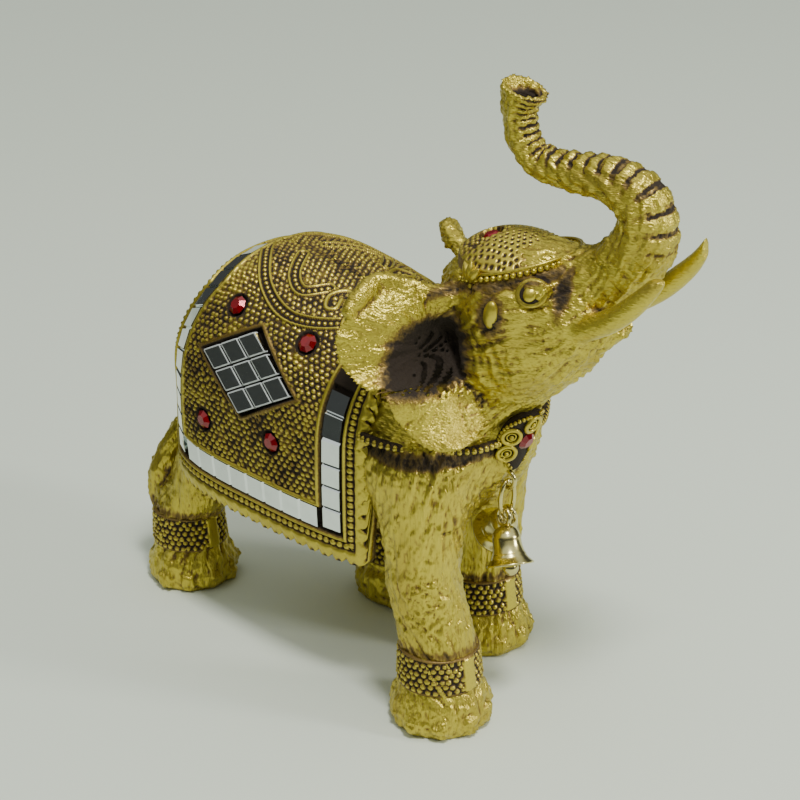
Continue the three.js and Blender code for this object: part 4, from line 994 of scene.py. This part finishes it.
def make_cap(material):
    """The cap: a beaded and pitted dome, wires and beads round its rim, petals and a drop on each side."""
    n, m = ((76, 250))
    share = np.linspace(0.01, 1, n)[:, None]
    angle = (np.arange(m) * 2 * np.pi / m)[None, :]
    top = cap_point(share, angle)
    e = 0.01
    outwards = cap_point(np.minimum(share + e, 0.97), angle) - cap_point(np.minimum(share, 0.96), angle)
    around = cap_point(share, angle + e) - cap_point(share, angle - e)
    normal = unit(np.cross(outwards, around))
    u, v = 14 * share * np.cos(angle), 11 * share * np.sin(angle)
    patch = step_up(-0.25, 0.25, noise(np.stack((u, v, 0 * u), -1), 4, 31))
    relief = bead_field(u, v, 1.3, 0.5, 0.42, 17) * (1 - patch)
    relief += (0.25 - bead_field(u + 3, v, 1.5, 0.4, 0.4, 19)) * patch
    relief = np.where(share > 0.95, 0.1, relief)
    outer = top + normal * relief[..., None]
    by_stone = np.hypot(outer[..., 0] - CAP_STONE[0], outer[..., 1] - CAP_STONE[1])
    outer[..., 2] -= 2.2 * step_up(2.5, 2.2, by_stone)
    under = (top - 1.4 * UP)[::-8]
    rings = np.concatenate((outer, under))
    dome = tube(head_turn(rings))
    # Random blotches, darker towards the front of the cap.
    blotches_darker_forward = noise(np.stack((u, v, 0 * u), -1), 5, 41) + u / 20
    dark = np.clip(1 - step_up(-0.05, 0.3, relief) + 0.6 * step_up(0.1, 0.5, blotches_darker_forward), 0, 1)
    dark = np.concatenate((dark * 0.8, np.full(under.shape[:2], 0.8)))
    skins, washes = [dome], [np.concatenate((dark.ravel(), (0.3, 0.8)))]

    def add(skin, wash_and_shade):
        """Adds a skin of one darkness."""
        skins.append(skin)
        washes.append(np.full(len(skin[0]), wash_and_shade))

    rim_angles = np.linspace(0, 2 * np.pi, 121)[:-1]
    rim = cap_point(np.ones(120), rim_angles)
    for lift in (-0.75, 0.85):
        centre = rim + UP * lift
        outward = unit((rim - CAP_MIDDLE) * (1, 1, 0))
        turn = (np.arange(8) * np.pi / 4)[None, :, None]
        ring = centre[:, None] + 0.32 * (np.cos(turn) * outward[:, None] + np.sin(turn) * UP)
        add(tube(head_turn(ring), closed=True), 0.1)
    outward = unit((rim - CAP_MIDDLE) * (1, 1, 0))
    add(beads(head_turn((rim + outward * 0.35)[::2]), 0.62), 0.08)
    for side in (-1, 1):
        root = math.radians(-108) * -side
        spot = cap_point(np.array([1.0]), np.array([root]))[0]
        out = unit((spot - CAP_MIDDLE) * (1, 1, 0))
        way = np.cross(UP, out)
        for turn in (-38, 0, 38):
            a = math.radians(turn)
            tip = way * math.sin(a) + UP * math.cos(a)
            rows = [np.r_[spot + out * (0.55 - 0.25 * s) + tip * 3.6 * s, w, w] for s, w in
                    ((0, 0.5), (0.3, 0.95), (0.65, 0.85), (1, 0.15))]
            add(tube(head_turn(limb(rows, 14, 10, out))), 0.05)
        chain = [spot + out * 0.5 - UP * 1.2 * k for k in range(3)]
        add(beads(head_turn(np.array(chain)), 0.5), 0.1)
        drop = (10.4, side * 13.2, 88.2)
        add(tube(head_turn(ball(drop, (1.5, 1.1, 2.8), -8, 24, 18))), 0.0)
    return build("skull_cap", together(skins), material, wash_and_shade=np.concatenate(washes))


def onto_face(points, place, side):
    """Points about an eye sheared so that its rings lie along the slanting face."""
    slant = ((points - place) @ np.array((0.25, 0, 0.4)))[..., None]
    return points - ACROSS * side * slant


def make_eyes(material):
    """Each eye: a domed ball, a dark ring round it and the lid's ring."""
    skins, washes = [], []
    for side in (-1, 1):
        place = np.array((17.3, side * 11.0, 93.2))
        eyeball = ball(place, (1.2, 0.9, 1.3), 16, 24, 16)
        skins.append(tube(head_turn(onto_face(eyeball, place, side))))
        washes.append(np.zeros(len(skins[-1][0])))
        for radius, wire, dark, sunk in ((1.45, 0.4, 1.0, 0.3), (2.2, 0.6, 0.12, 0.75)):
            ring = torus(radius, wire, 28, 8)[..., [1, 0, 2]] * (1.1, 1, 0.92)
            ring = onto_face(ring + place, place, side) - ACROSS * side * sunk
            skins.append(tube(head_turn(ring), closed=True))
            washes.append(np.full(len(skins[-1][0]), dark))
    return build("eyes", together(skins), material, wash_and_shade=np.concatenate(washes))


ANKLET_LOW, ANKLET_TOP, ANKLET_RADIUS = 9.2, 16.6, 8.25


def make_anklets(material):
    """Bands round the legs: a lattice of beads on a near cylinder, with plain edges and a small plate."""
    skins, washes = [], []
    n, m = ((32, 200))
    for foot, _, _, _, thick in LEGS.values():
        z = np.linspace(ANKLET_LOW, ANKLET_TOP, n)[:, None]
        angle = (np.arange(m) * 2 * np.pi / m)[None, :]
        radius = (ANKLET_RADIUS - 0.07 * (z - ANKLET_LOW) + 0 * angle) * thick
        relief = bead_field(angle * 50 / (2 * np.pi) + 0 * z, z + 0 * angle, 1.4, 0.55, 0.5, 23)
        edge = np.minimum(z - ANKLET_LOW, ANKLET_TOP - z)
        relief = np.where(edge < 0.3, 0.2, relief)
        plate = np.cos(angle) > 0.984
        relief = np.where(plate & (edge > 0.45), 0.5, relief)
        r = radius + relief
        way = np.stack((np.cos(angle) + 0 * z, np.sin(angle) + 0 * z, 0 * r), -1)
        axis = np.stack((foot[0] - 0.2 - 0.06 * (z - ANKLET_LOW) + 0 * r, foot[1] + 0 * r, z + 0 * r), -1)
        inner = (axis + 6.4 * way)[::-6]
        skins.append(tube(np.concatenate((axis + way * r[..., None], inner)), closed=True))
        dark = 0.85 - 0.85 * step_up(0.05, 0.35, relief)
        washes.append(np.concatenate((dark, np.full(inner.shape[:2], 0.6))).ravel())
    return build("anklets", together(skins), material, wash_and_shade=np.concatenate(washes))


# Brass
EYE_PLACE = np.array((10.4, -1, 49.4))
EYE_RING, LINK_LENGTH, LINK_WIDTH, LOOP_LENGTH, LOOP_WIDTH, WIRE = 3.6, 7.6, 3.9, 3.6, 3.2, 0.9
RING_PLAY, BELLS_APART, BELL_RIM, BELL_HEIGHT, BELL_WALL = 0.5, 1.8, 9.4, 7.6, 0.6
BELL_LEANS = ((26, -14), (-40, 15))
CLAPPER_HANG, CLAPPER_RADIUS = 1.06, 1.6
LINK_HANG = (EYE_RING + LINK_LENGTH) / 2 - WIRE - RING_PLAY


def wire_ring(long, wide):
    """A closed wire ring in the XZ plane."""
    a = (np.arange(48) * 2 * np.pi / 48)[:, None, None]
    b = (np.arange(12) * 2 * np.pi / 12)[None, :, None]
    out = np.concatenate((np.cos(a), 0 * a, np.sin(a)), -1)
    middle = out * (wide / 2, 0, long / 2)
    return middle + WIRE / 2 * (np.cos(b) * out + np.sin(b) * ACROSS)


def bell_rings():
    """A bell turned about Z, its loop's middle at the origin: outside wall down, mouth, inside wall up."""
    rim, top = BELL_RIM / 2, -LOOP_LENGTH / 2
    waist, mouth = rim * 0.62, top - BELL_HEIGHT
    outline = [
        (0.02, top), (rim * 0.34, top - 0.2), (waist * 0.9, top - BELL_HEIGHT * 0.2),
        (waist, top - BELL_HEIGHT * 0.55), (rim * 0.76, top - BELL_HEIGHT * 0.8), (rim, mouth + 0.3),
        (rim, mouth),
        (rim - BELL_WALL, mouth), (rim * 0.76 - BELL_WALL, top - BELL_HEIGHT * 0.78),
        (waist - BELL_WALL, top - BELL_HEIGHT * 0.55), (waist * 0.9 - BELL_WALL, top - BELL_HEIGHT * 0.24),
        (0.02, top - BELL_WALL - 0.2),
    ]
    outer = between(outline[:6], np.linspace(0, 1, 40))
    lip = np.array(outline[6:8])
    inner = between(outline[8:], np.linspace(0, 1, 24))
    profile = np.concatenate((outer, lip, inner))
    lines = 0.09 * sum(np.exp(-((outer[:, 1] - top + BELL_HEIGHT * s) / 0.2) ** 2) for s in (0.3, 0.74))
    profile[:40, 0] += lines
    angle = (np.arange(64) * 2 * np.pi / 64)[None, :]
    r, z = profile[:, :1], profile[:, 1:]
    return np.stack((r * np.cos(angle), r * np.sin(angle), z + 0 * angle), -1)


def hang_bell(points, forward, left):
    """Puts a bell's points where its loop hangs in the link."""
    beside = math.copysign(BELLS_APART / 2, left)
    bend = LINK_LENGTH / 2 * math.sqrt(1 - (2 * beside / LINK_WIDTH) ** 2)
    hang = bend - WIRE - RING_PLAY + LOOP_LENGTH / 2
    turn = np.array(Euler((math.radians(left), 0, 0)).to_matrix())
    turn = np.array(Euler((0, math.radians(-forward), 0)).to_matrix()) @ turn
    return points @ turn.T + np.array((0, beside, -LINK_HANG - hang)) + EYE_PLACE


def make_brass(material):
    """Round wire and turned bells in place of the faceted ones."""
    ring = tube(wire_ring(EYE_RING, EYE_RING) + EYE_PLACE, closed=True)
    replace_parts(build("eye_ring_round", ring, material), "eye_ring")
    link = wire_ring(LINK_LENGTH, LINK_WIDTH)
    link = np.stack((-link[..., 1], link[..., 0], link[..., 2]), -1) + EYE_PLACE - UP * LINK_HANG
    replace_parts(build("bell_link_round", tube(link, closed=True), material), "bell_link")
    for k, lean in enumerate(BELL_LEANS, 1):
        loop = tube(hang_bell(wire_ring(LOOP_LENGTH, LOOP_WIDTH), *lean), closed=True)
        bell = tube(hang_bell(bell_rings(), *lean))
        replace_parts(build(f"bell_{k}_turned", together((loop, bell)), material), f"bell_{k}")
        place = np.array((0, 0, -LOOP_LENGTH / 2 - BELL_HEIGHT * CLAPPER_HANG))
        clapper = hang_bell(ball(place, CLAPPER_RADIUS, 0, 32, 20), *lean)
        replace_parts(build(f"bell_clapper_{k}_round", tube(clapper), material), f"bell_clapper_{k}")


# Materials
def add_node(tree, kind, inputs=None, **settings):
    """A shader node with its settings and the values or links of its inputs."""
    node = tree.nodes.new(kind)
    for name, value in settings.items():
        setattr(node, name, value)
    for name, value in (inputs or {}).items():
        if isinstance(value, bpy.types.NodeSocket):
            tree.links.new(value, node.inputs[name])
        else:
            node.inputs[name].default_value = value
    return node


def ranged(tree, value, low, high, start=0.0, end=1.0):
    """A value mapped from low..high to start..end."""
    places = {"Value": value, "From Min": low, "From Max": high, "To Min": start, "To Max": end}
    return add_node(tree, "ShaderNodeMapRange", places).outputs[0]


def scaled(tree, value, factor, plus):
    """A value times a factor, plus another."""
    terms = {0: value, 1: factor, 2: plus}
    return add_node(tree, "ShaderNodeMath", terms, operation="MULTIPLY_ADD").outputs[0]


def mixed(tree, share, first, second):
    """One colour fading into a second."""
    return add_node(tree, "ShaderNodeMix", {0: share, 6: first, 7: second}, data_type="RGBA").outputs[2]


def gilding_group():
    """Paint over resin: colour, metal, roughness and fine height from the darkness of dark paint and painted
    shade, and the grain's place.
    """
    tree = bpy.data.node_groups.new("Antique Gilding", "ShaderNodeTree")
    for name, kind, value in (
        ("Place", "NodeSocketVector", (0, 0, 0)), ("Wash and Shade", "NodeSocketFloat", 0.0),
        ("Gold", "NodeSocketColor", (0.6, 0.42, 0.1, 1)),
        ("Tarnish and Shade", "NodeSocketColor", (0.26, 0.165, 0.035, 1)),
        ("Dark", "NodeSocketColor", (0.02, 0.011, 0.004, 1)),
        ("Gloss", "NodeSocketFloat", 0.36),
    ):
        tree.interface.new_socket(name=name, in_out="INPUT", socket_type=kind).default_value = value
    for name in ("Colour", "Metal", "Roughness", "Height"):
        kind = "NodeSocketColor" if name == "Colour" else "NodeSocketFloat"
        tree.interface.new_socket(name=name, in_out="OUTPUT", socket_type=kind)
    given = tree.nodes.new("NodeGroupInput").outputs
    grain = add_node(tree, "ShaderNodeTexNoise", {"Vector": given["Place"], "Scale": 2100.0, "Detail": 2.0})
    patches = add_node(tree, "ShaderNodeTexNoise", {"Vector": given["Place"], "Scale": 160.0, "Detail": 4.0})
    speck = add_node(tree, "ShaderNodeMath", {0: grain.outputs["Fac"], 1: 0.5}, operation="SUBTRACT")
    uneven = scaled(tree, speck.outputs[0], 0.55, given["Wash and Shade"])
    wash_and_shade = ranged(tree, uneven, 0.2, 0.85)
    wash_and_shade.node.interpolation_type = "SMOOTHSTEP"
    # The thin end of the darkness, painted shade included, turns the gold towards the tarnish colour.
    thin_wash_and_shade = ranged(tree, uneven, 0.02, 0.34)
    dull = ranged(tree, patches.outputs["Fac"], 0.45, 0.75, 0.0, 0.45)
    tarnish_and_shade = add_node(tree, "ShaderNodeMath", {0: thin_wash_and_shade, 1: dull}, operation="MAXIMUM")
    gold = mixed(tree, tarnish_and_shade.outputs[0], given["Gold"], given["Tarnish and Shade"])
    colour = mixed(tree, wash_and_shade, gold, given["Dark"])
    metal = scaled(tree, wash_and_shade, -0.66, 0.76)
    rough = scaled(tree, patches.outputs["Fac"], 0.12, scaled(tree, wash_and_shade, 0.55, given["Gloss"]))
    out = tree.nodes.new("NodeGroupOutput").inputs
    results = {"Colour": colour, "Metal": metal, "Roughness": rough, "Height": grain.outputs["Fac"]}
    for name, socket in results.items():
        tree.links.new(socket, out[name])
    return tree


def new_material(name):
    """An empty material: its node tree and its Principled shader."""
    material = bpy.data.materials.new(name)
    material.use_nodes = True
    tree = material.node_tree
    return material, tree, tree.nodes["Principled BSDF"]


def gilded(name, gold, gloss, bump, brushed=False):
    """Gilded resin that reads each piece's own darkness of dark paint and painted shade, and if brushed the
    places of its strokes.
    """
    material, tree, shader = new_material(name)
    wash_and_shade = add_node(tree, "ShaderNodeAttribute", attribute_name="wash_and_shade")
    gilding = bpy.data.node_groups.get("Antique Gilding") or gilding_group()
    group = add_node(tree, "ShaderNodeGroup", node_tree=gilding)
    tree.links.new(wash_and_shade.outputs["Fac"], group.inputs["Wash and Shade"])
    if brushed:
        place = add_node(tree, "ShaderNodeAttribute", attribute_name="grain").outputs["Vector"]
    else:
        place = tree.nodes.new("ShaderNodeTexCoord").outputs["Object"]
    tree.links.new(place, group.inputs["Place"])
    group.inputs["Gold"].default_value = (*gold, 1)
    group.inputs["Gloss"].default_value = gloss
    for source, target in (("Colour", "Base Color"), ("Metal", "Metallic"), ("Roughness", "Roughness")):
        tree.links.new(group.outputs[source], shader.inputs[target])
    heights = {"Height": group.outputs["Height"], "Strength": bump, "Distance": 0.0004}
    bumps = add_node(tree, "ShaderNodeBump", heights)
    tree.links.new(bumps.outputs[0], shader.inputs["Normal"])
    return material


def mottled(name, scale, detail):
    """A new metal or glass material, and the noise over the object that makes it uneven."""
    material, tree, shader = new_material(name)
    place = tree.nodes.new("ShaderNodeTexCoord").outputs["Object"]
    uneven = add_node(tree, "ShaderNodeTexNoise", {"Vector": place, "Scale": scale, "Detail": detail})
    return material, tree, shader, uneven.outputs["Fac"]


def mirror_material():
    """Silvered glass tiles: near-white metal, slightly smoky, with faint dirt at random places."""
    material, tree, shader, dirt = mottled("mirror_glass", 420.0, 5.0)
    amount = ranged(tree, dirt, 0.4, 0.8, 0.03, 0.2)
    tint = mixed(tree, amount, (0.78, 0.82, 0.81, 1), (0.4, 0.42, 0.4, 1))
    tree.links.new(tint, shader.inputs["Base Color"])
    tree.links.new(amount, shader.inputs["Roughness"])
    shader.inputs["Metallic"].default_value = 1.0
    shader.inputs["Coat Weight"].default_value = 0.5
    return material


def mirror_edge_material():
    """The ground edges of the mirror tiles: pale, rough, a little uneven."""
    material, tree, shader, chips = mottled("mirror_edge", 900.0, 3.0)
    tint = mixed(tree, chips, (0.85, 0.88, 0.86, 1), (0.45, 0.47, 0.46, 1))
    tree.links.new(tint, shader.inputs["Base Color"])
    shader.inputs["Roughness"].default_value = 0.45
    shader.inputs["Metallic"].default_value = 0.2
    return material


def stone_material():
    """Foil-backed red stones."""
    material, tree, shader, depth = mottled("red_rhinestone", 500.0, 2.0)
    tint = mixed(tree, depth, (0.36, 0.0, 0.006, 1), (0.12, 0.0, 0.004, 1))
    tree.links.new(tint, shader.inputs["Base Color"])
    shader.inputs["Metallic"].default_value = 0.35
    shader.inputs["Roughness"].default_value = 0.12
    shader.inputs["Coat Weight"].default_value = 0.6
    return material


def brass_material():
    """Bright plated brass, a little uneven."""
    material, tree, shader, wear = mottled("brass", 600.0, 4.0)
    tint = mixed(tree, wear, (0.76, 0.69, 0.32, 1), (0.52, 0.43, 0.14, 1))
    tree.links.new(tint, shader.inputs["Base Color"])
    tree.links.new(ranged(tree, wear, 0.0, 1.0, 0.1, 0.34), shader.inputs["Roughness"])
    shader.inputs["Metallic"].default_value = 1.0
    return material


# Stage, in metres unless said
LIGHTS = (  # name, place, turn in degrees, size, energy
    ("key", (0.3, -0.15, 0.85), (10, 18, 0), 0.14, 6.0),
    ("side", (0.62, 0.34, 0.34), (0, 65, 29), 0.12, 2.4),
)
CAMERA_PLACE = np.array((277.8, -297.6, 260.7))  # millimetres, before the move into the frame
CAMERA_LENS, CAMERA_SENSOR, CAMERA_ELEVATION, CAMERA_AZIMUTH = 105.84, 36.0, 26, 45
CARD_PLACE = np.array((-122, -118, 0))  # millimetres, as the camera's place
CARD_WAY, CARD_HALF, CARD_HEIGHT = np.array((0.74, -0.67, 0)), 0.13, 0.07


# Add-on
class FigurineSettings(bpy.types.PropertyGroup):
    """Sizes and colours that a user would change."""

    stroke_depth: FloatProperty(
        name="Stroke Depth", description="Depth of the hair strokes in the hide", default=0.00028,
        unit="LENGTH",
    )
    gold_colour: FloatVectorProperty(
        name="Gold", description="Colour of the gilding", default=(0.6, 0.49, 0.06), size=3, subtype="COLOR"
    )
    floor_colour: FloatVectorProperty(
        name="Floor", description="Colour of the floor", default=(0.68, 0.735, 0.615), size=3, subtype="COLOR"
    )


class FIGURINE_OT_hide(bpy.types.Operator):
    """Make the cast hide in place of the plain casting"""

    bl_idname = "figurine.hide"
    bl_label = "Cast Hide"

    def execute(self, context):
        gold = gilded("gilded_hide", context.scene.figurine.gold_colour, 0.24, 0.8, True)
        for piece in make_hide(gold):
            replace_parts(piece, CASTING)
        return {"FINISHED"}


class FIGURINE_OT_cloth(bpy.types.Operator):
    """Make the relief saddle cloth"""

    bl_idname = "figurine.cloth"
    bl_label = "Saddle Cloth"

    def execute(self, context):
        gold = gilded("gilded_cloth", context.scene.figurine.gold_colour, 0.3, 0.2)
        for piece in make_cloth(gold):
            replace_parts(piece, CASTING)
        return {"FINISHED"}


class FIGURINE_OT_jewellery(bpy.types.Operator):
    """Make the cast cap, necklace, medallion, anklets and eyes"""

    bl_idname = "figurine.jewellery"
    bl_label = "Cast Jewellery"

    def execute(self, context):
        gold = gilded("gilded_beads", context.scene.figurine.gold_colour, 0.26, 0.15)
        for make in (make_cap, make_necklace, make_medallion, make_anklets, make_eyes):
            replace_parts(make(gold), CASTING)
        return {"FINISHED"}


class FIGURINE_OT_metal_and_glass(bpy.types.Operator):
    """Make round bells and rings, and give the set mirrors and stones their finish"""

    bl_idname = "figurine.metal_and_glass"
    bl_label = "Bells, Mirrors and Stones"

    def execute(self, context):
        make_brass(brass_material())
        mirror, edge, stone = mirror_material(), mirror_edge_material(), stone_material()
        for name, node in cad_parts.items():
            if name.startswith("mirror"):
                node.data.materials[0] = mirror
                if "tile" in name:
                    node.modifiers.new("weld", "WELD").merge_threshold = 0.00001
                    bevel = node.modifiers.new("bevel", "BEVEL")
                    bevel.width, bevel.segments, bevel.material = 0.0003, 2, 1
                    node.data.materials.append(edge)
            elif name.startswith("rhinestone"):
                node.data.materials[0] = stone
        return {"FINISHED"}


class FIGURINE_OT_stage(bpy.types.Operator):
    """Make the floor, the lights and the camera"""

    bl_idname = "figurine.stage"
    bl_label = "Stage"

    def execute(self, context):
        scene = context.scene
        material, _, shader = new_material("plain_floor")
        shader.inputs["Base Color"].default_value = (*scene.figurine.floor_colour, 1)
        shader.inputs["Roughness"].default_value = 0.75
        mesh = bpy.data.meshes.new("floor")
        mesh.from_pydata([(-3, -3, 0), (3, -3, 0), (3, 3, 0), (-3, 3, 0)], [], [(0, 1, 2, 3)])
        mesh.materials.append(material)
        floor = bpy.data.objects.new("floor", mesh)
        scene.collection.objects.link(floor)
        floor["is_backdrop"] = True
        # A dark card beside the figurine that only its mirrors see.
        material, _, shader = new_material("dark_card")
        shader.inputs["Base Color"].default_value = (0.02, 0.022, 0.022, 1)
        middle = (CARD_PLACE + TO_FRAME) * MM
        along, rise = CARD_WAY * CARD_HALF, UP * CARD_HEIGHT
        corners = [middle - along, middle + along, middle + along + rise, middle - along + rise]
        mesh = bpy.data.meshes.new("card")
        mesh.from_pydata([tuple(c) for c in corners], [], [(0, 1, 2, 3)])
        mesh.materials.append(material)
        card = bpy.data.objects.new("card", mesh)
        card.visible_camera = False
        scene.collection.objects.link(card)
        card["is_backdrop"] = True
        world = bpy.data.worlds.new("studio")
        world.use_nodes = True
        tree = world.node_tree
        ray = tree.nodes.new("ShaderNodeTexCoord").outputs["Generated"]
        height = add_node(tree, "ShaderNodeSeparateXYZ", {"Vector": ray}).outputs["Z"]
        bright = ranged(tree, height, 0.4, 0.72, 0.06, 0.85)
        bright.node.interpolation_type = "SMOOTHSTEP"
        back = tree.nodes["Background"]
        back.inputs["Color"].default_value = (0.95, 1.0, 0.96, 1)
        tree.links.new(bright, back.inputs["Strength"])
        scene.world = world
        for name, place, turn, size, energy in LIGHTS:
            light = bpy.data.lights.new(name, "AREA")
            light.size, light.energy = size, energy
            lamp = bpy.data.objects.new(name, light)
            lamp.location = place
            lamp.rotation_euler = [math.radians(a) for a in turn]
            scene.collection.objects.link(lamp)
        camera = bpy.data.cameras.new("camera")
        camera.lens, camera.sensor_width, camera.clip_end = CAMERA_LENS, CAMERA_SENSOR, 10.0
        view = bpy.data.objects.new("camera", camera)
        view.location = (CAMERA_PLACE + TO_FRAME) * MM
        view.rotation_euler = (math.radians(90 - CAMERA_ELEVATION), 0, math.radians(CAMERA_AZIMUTH))
        scene.collection.objects.link(view)
        scene.camera = view
        return {"FINISHED"}


class FIGURINE_PT_panel(bpy.types.Panel):
    """The figurine's sizes, colours and steps"""

    bl_label = "Elephant Figurine"
    bl_idname = "FIGURINE_PT_panel"
    bl_space_type = "VIEW_3D"
    bl_region_type = "UI"
    bl_category = "Figurine"

    def draw(self, context):
        settings = context.scene.figurine
        for name in ("stroke_depth", "gold_colour", "floor_colour"):
            self.layout.prop(settings, name)
        for operator in OPERATORS:
            self.layout.operator(operator.bl_idname)


OPERATORS = (
    FIGURINE_OT_hide, FIGURINE_OT_cloth, FIGURINE_OT_jewellery,
    FIGURINE_OT_metal_and_glass, FIGURINE_OT_stage,
)
CLASSES = (FigurineSettings, *OPERATORS, FIGURINE_PT_panel)


def register():
    for cls in CLASSES:
        bpy.utils.register_class(cls)
    bpy.types.Scene.figurine = PointerProperty(type=FigurineSettings)


def unregister():
    del bpy.types.Scene.figurine
    for cls in reversed(CLASSES):
        bpy.utils.unregister_class(cls)


def main():
    register()
    bpy.ops.figurine.hide()
    bpy.ops.figurine.cloth()
    bpy.ops.figurine.jewellery()
    bpy.ops.figurine.metal_and_glass()
    bpy.ops.figurine.stage()
    boxes = {"cad": CAD_BOX, "visual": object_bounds()}
    {name: [list(corner) for corner in box] for name, box in boxes.items()}


if __name__ == "__main__":
    main()
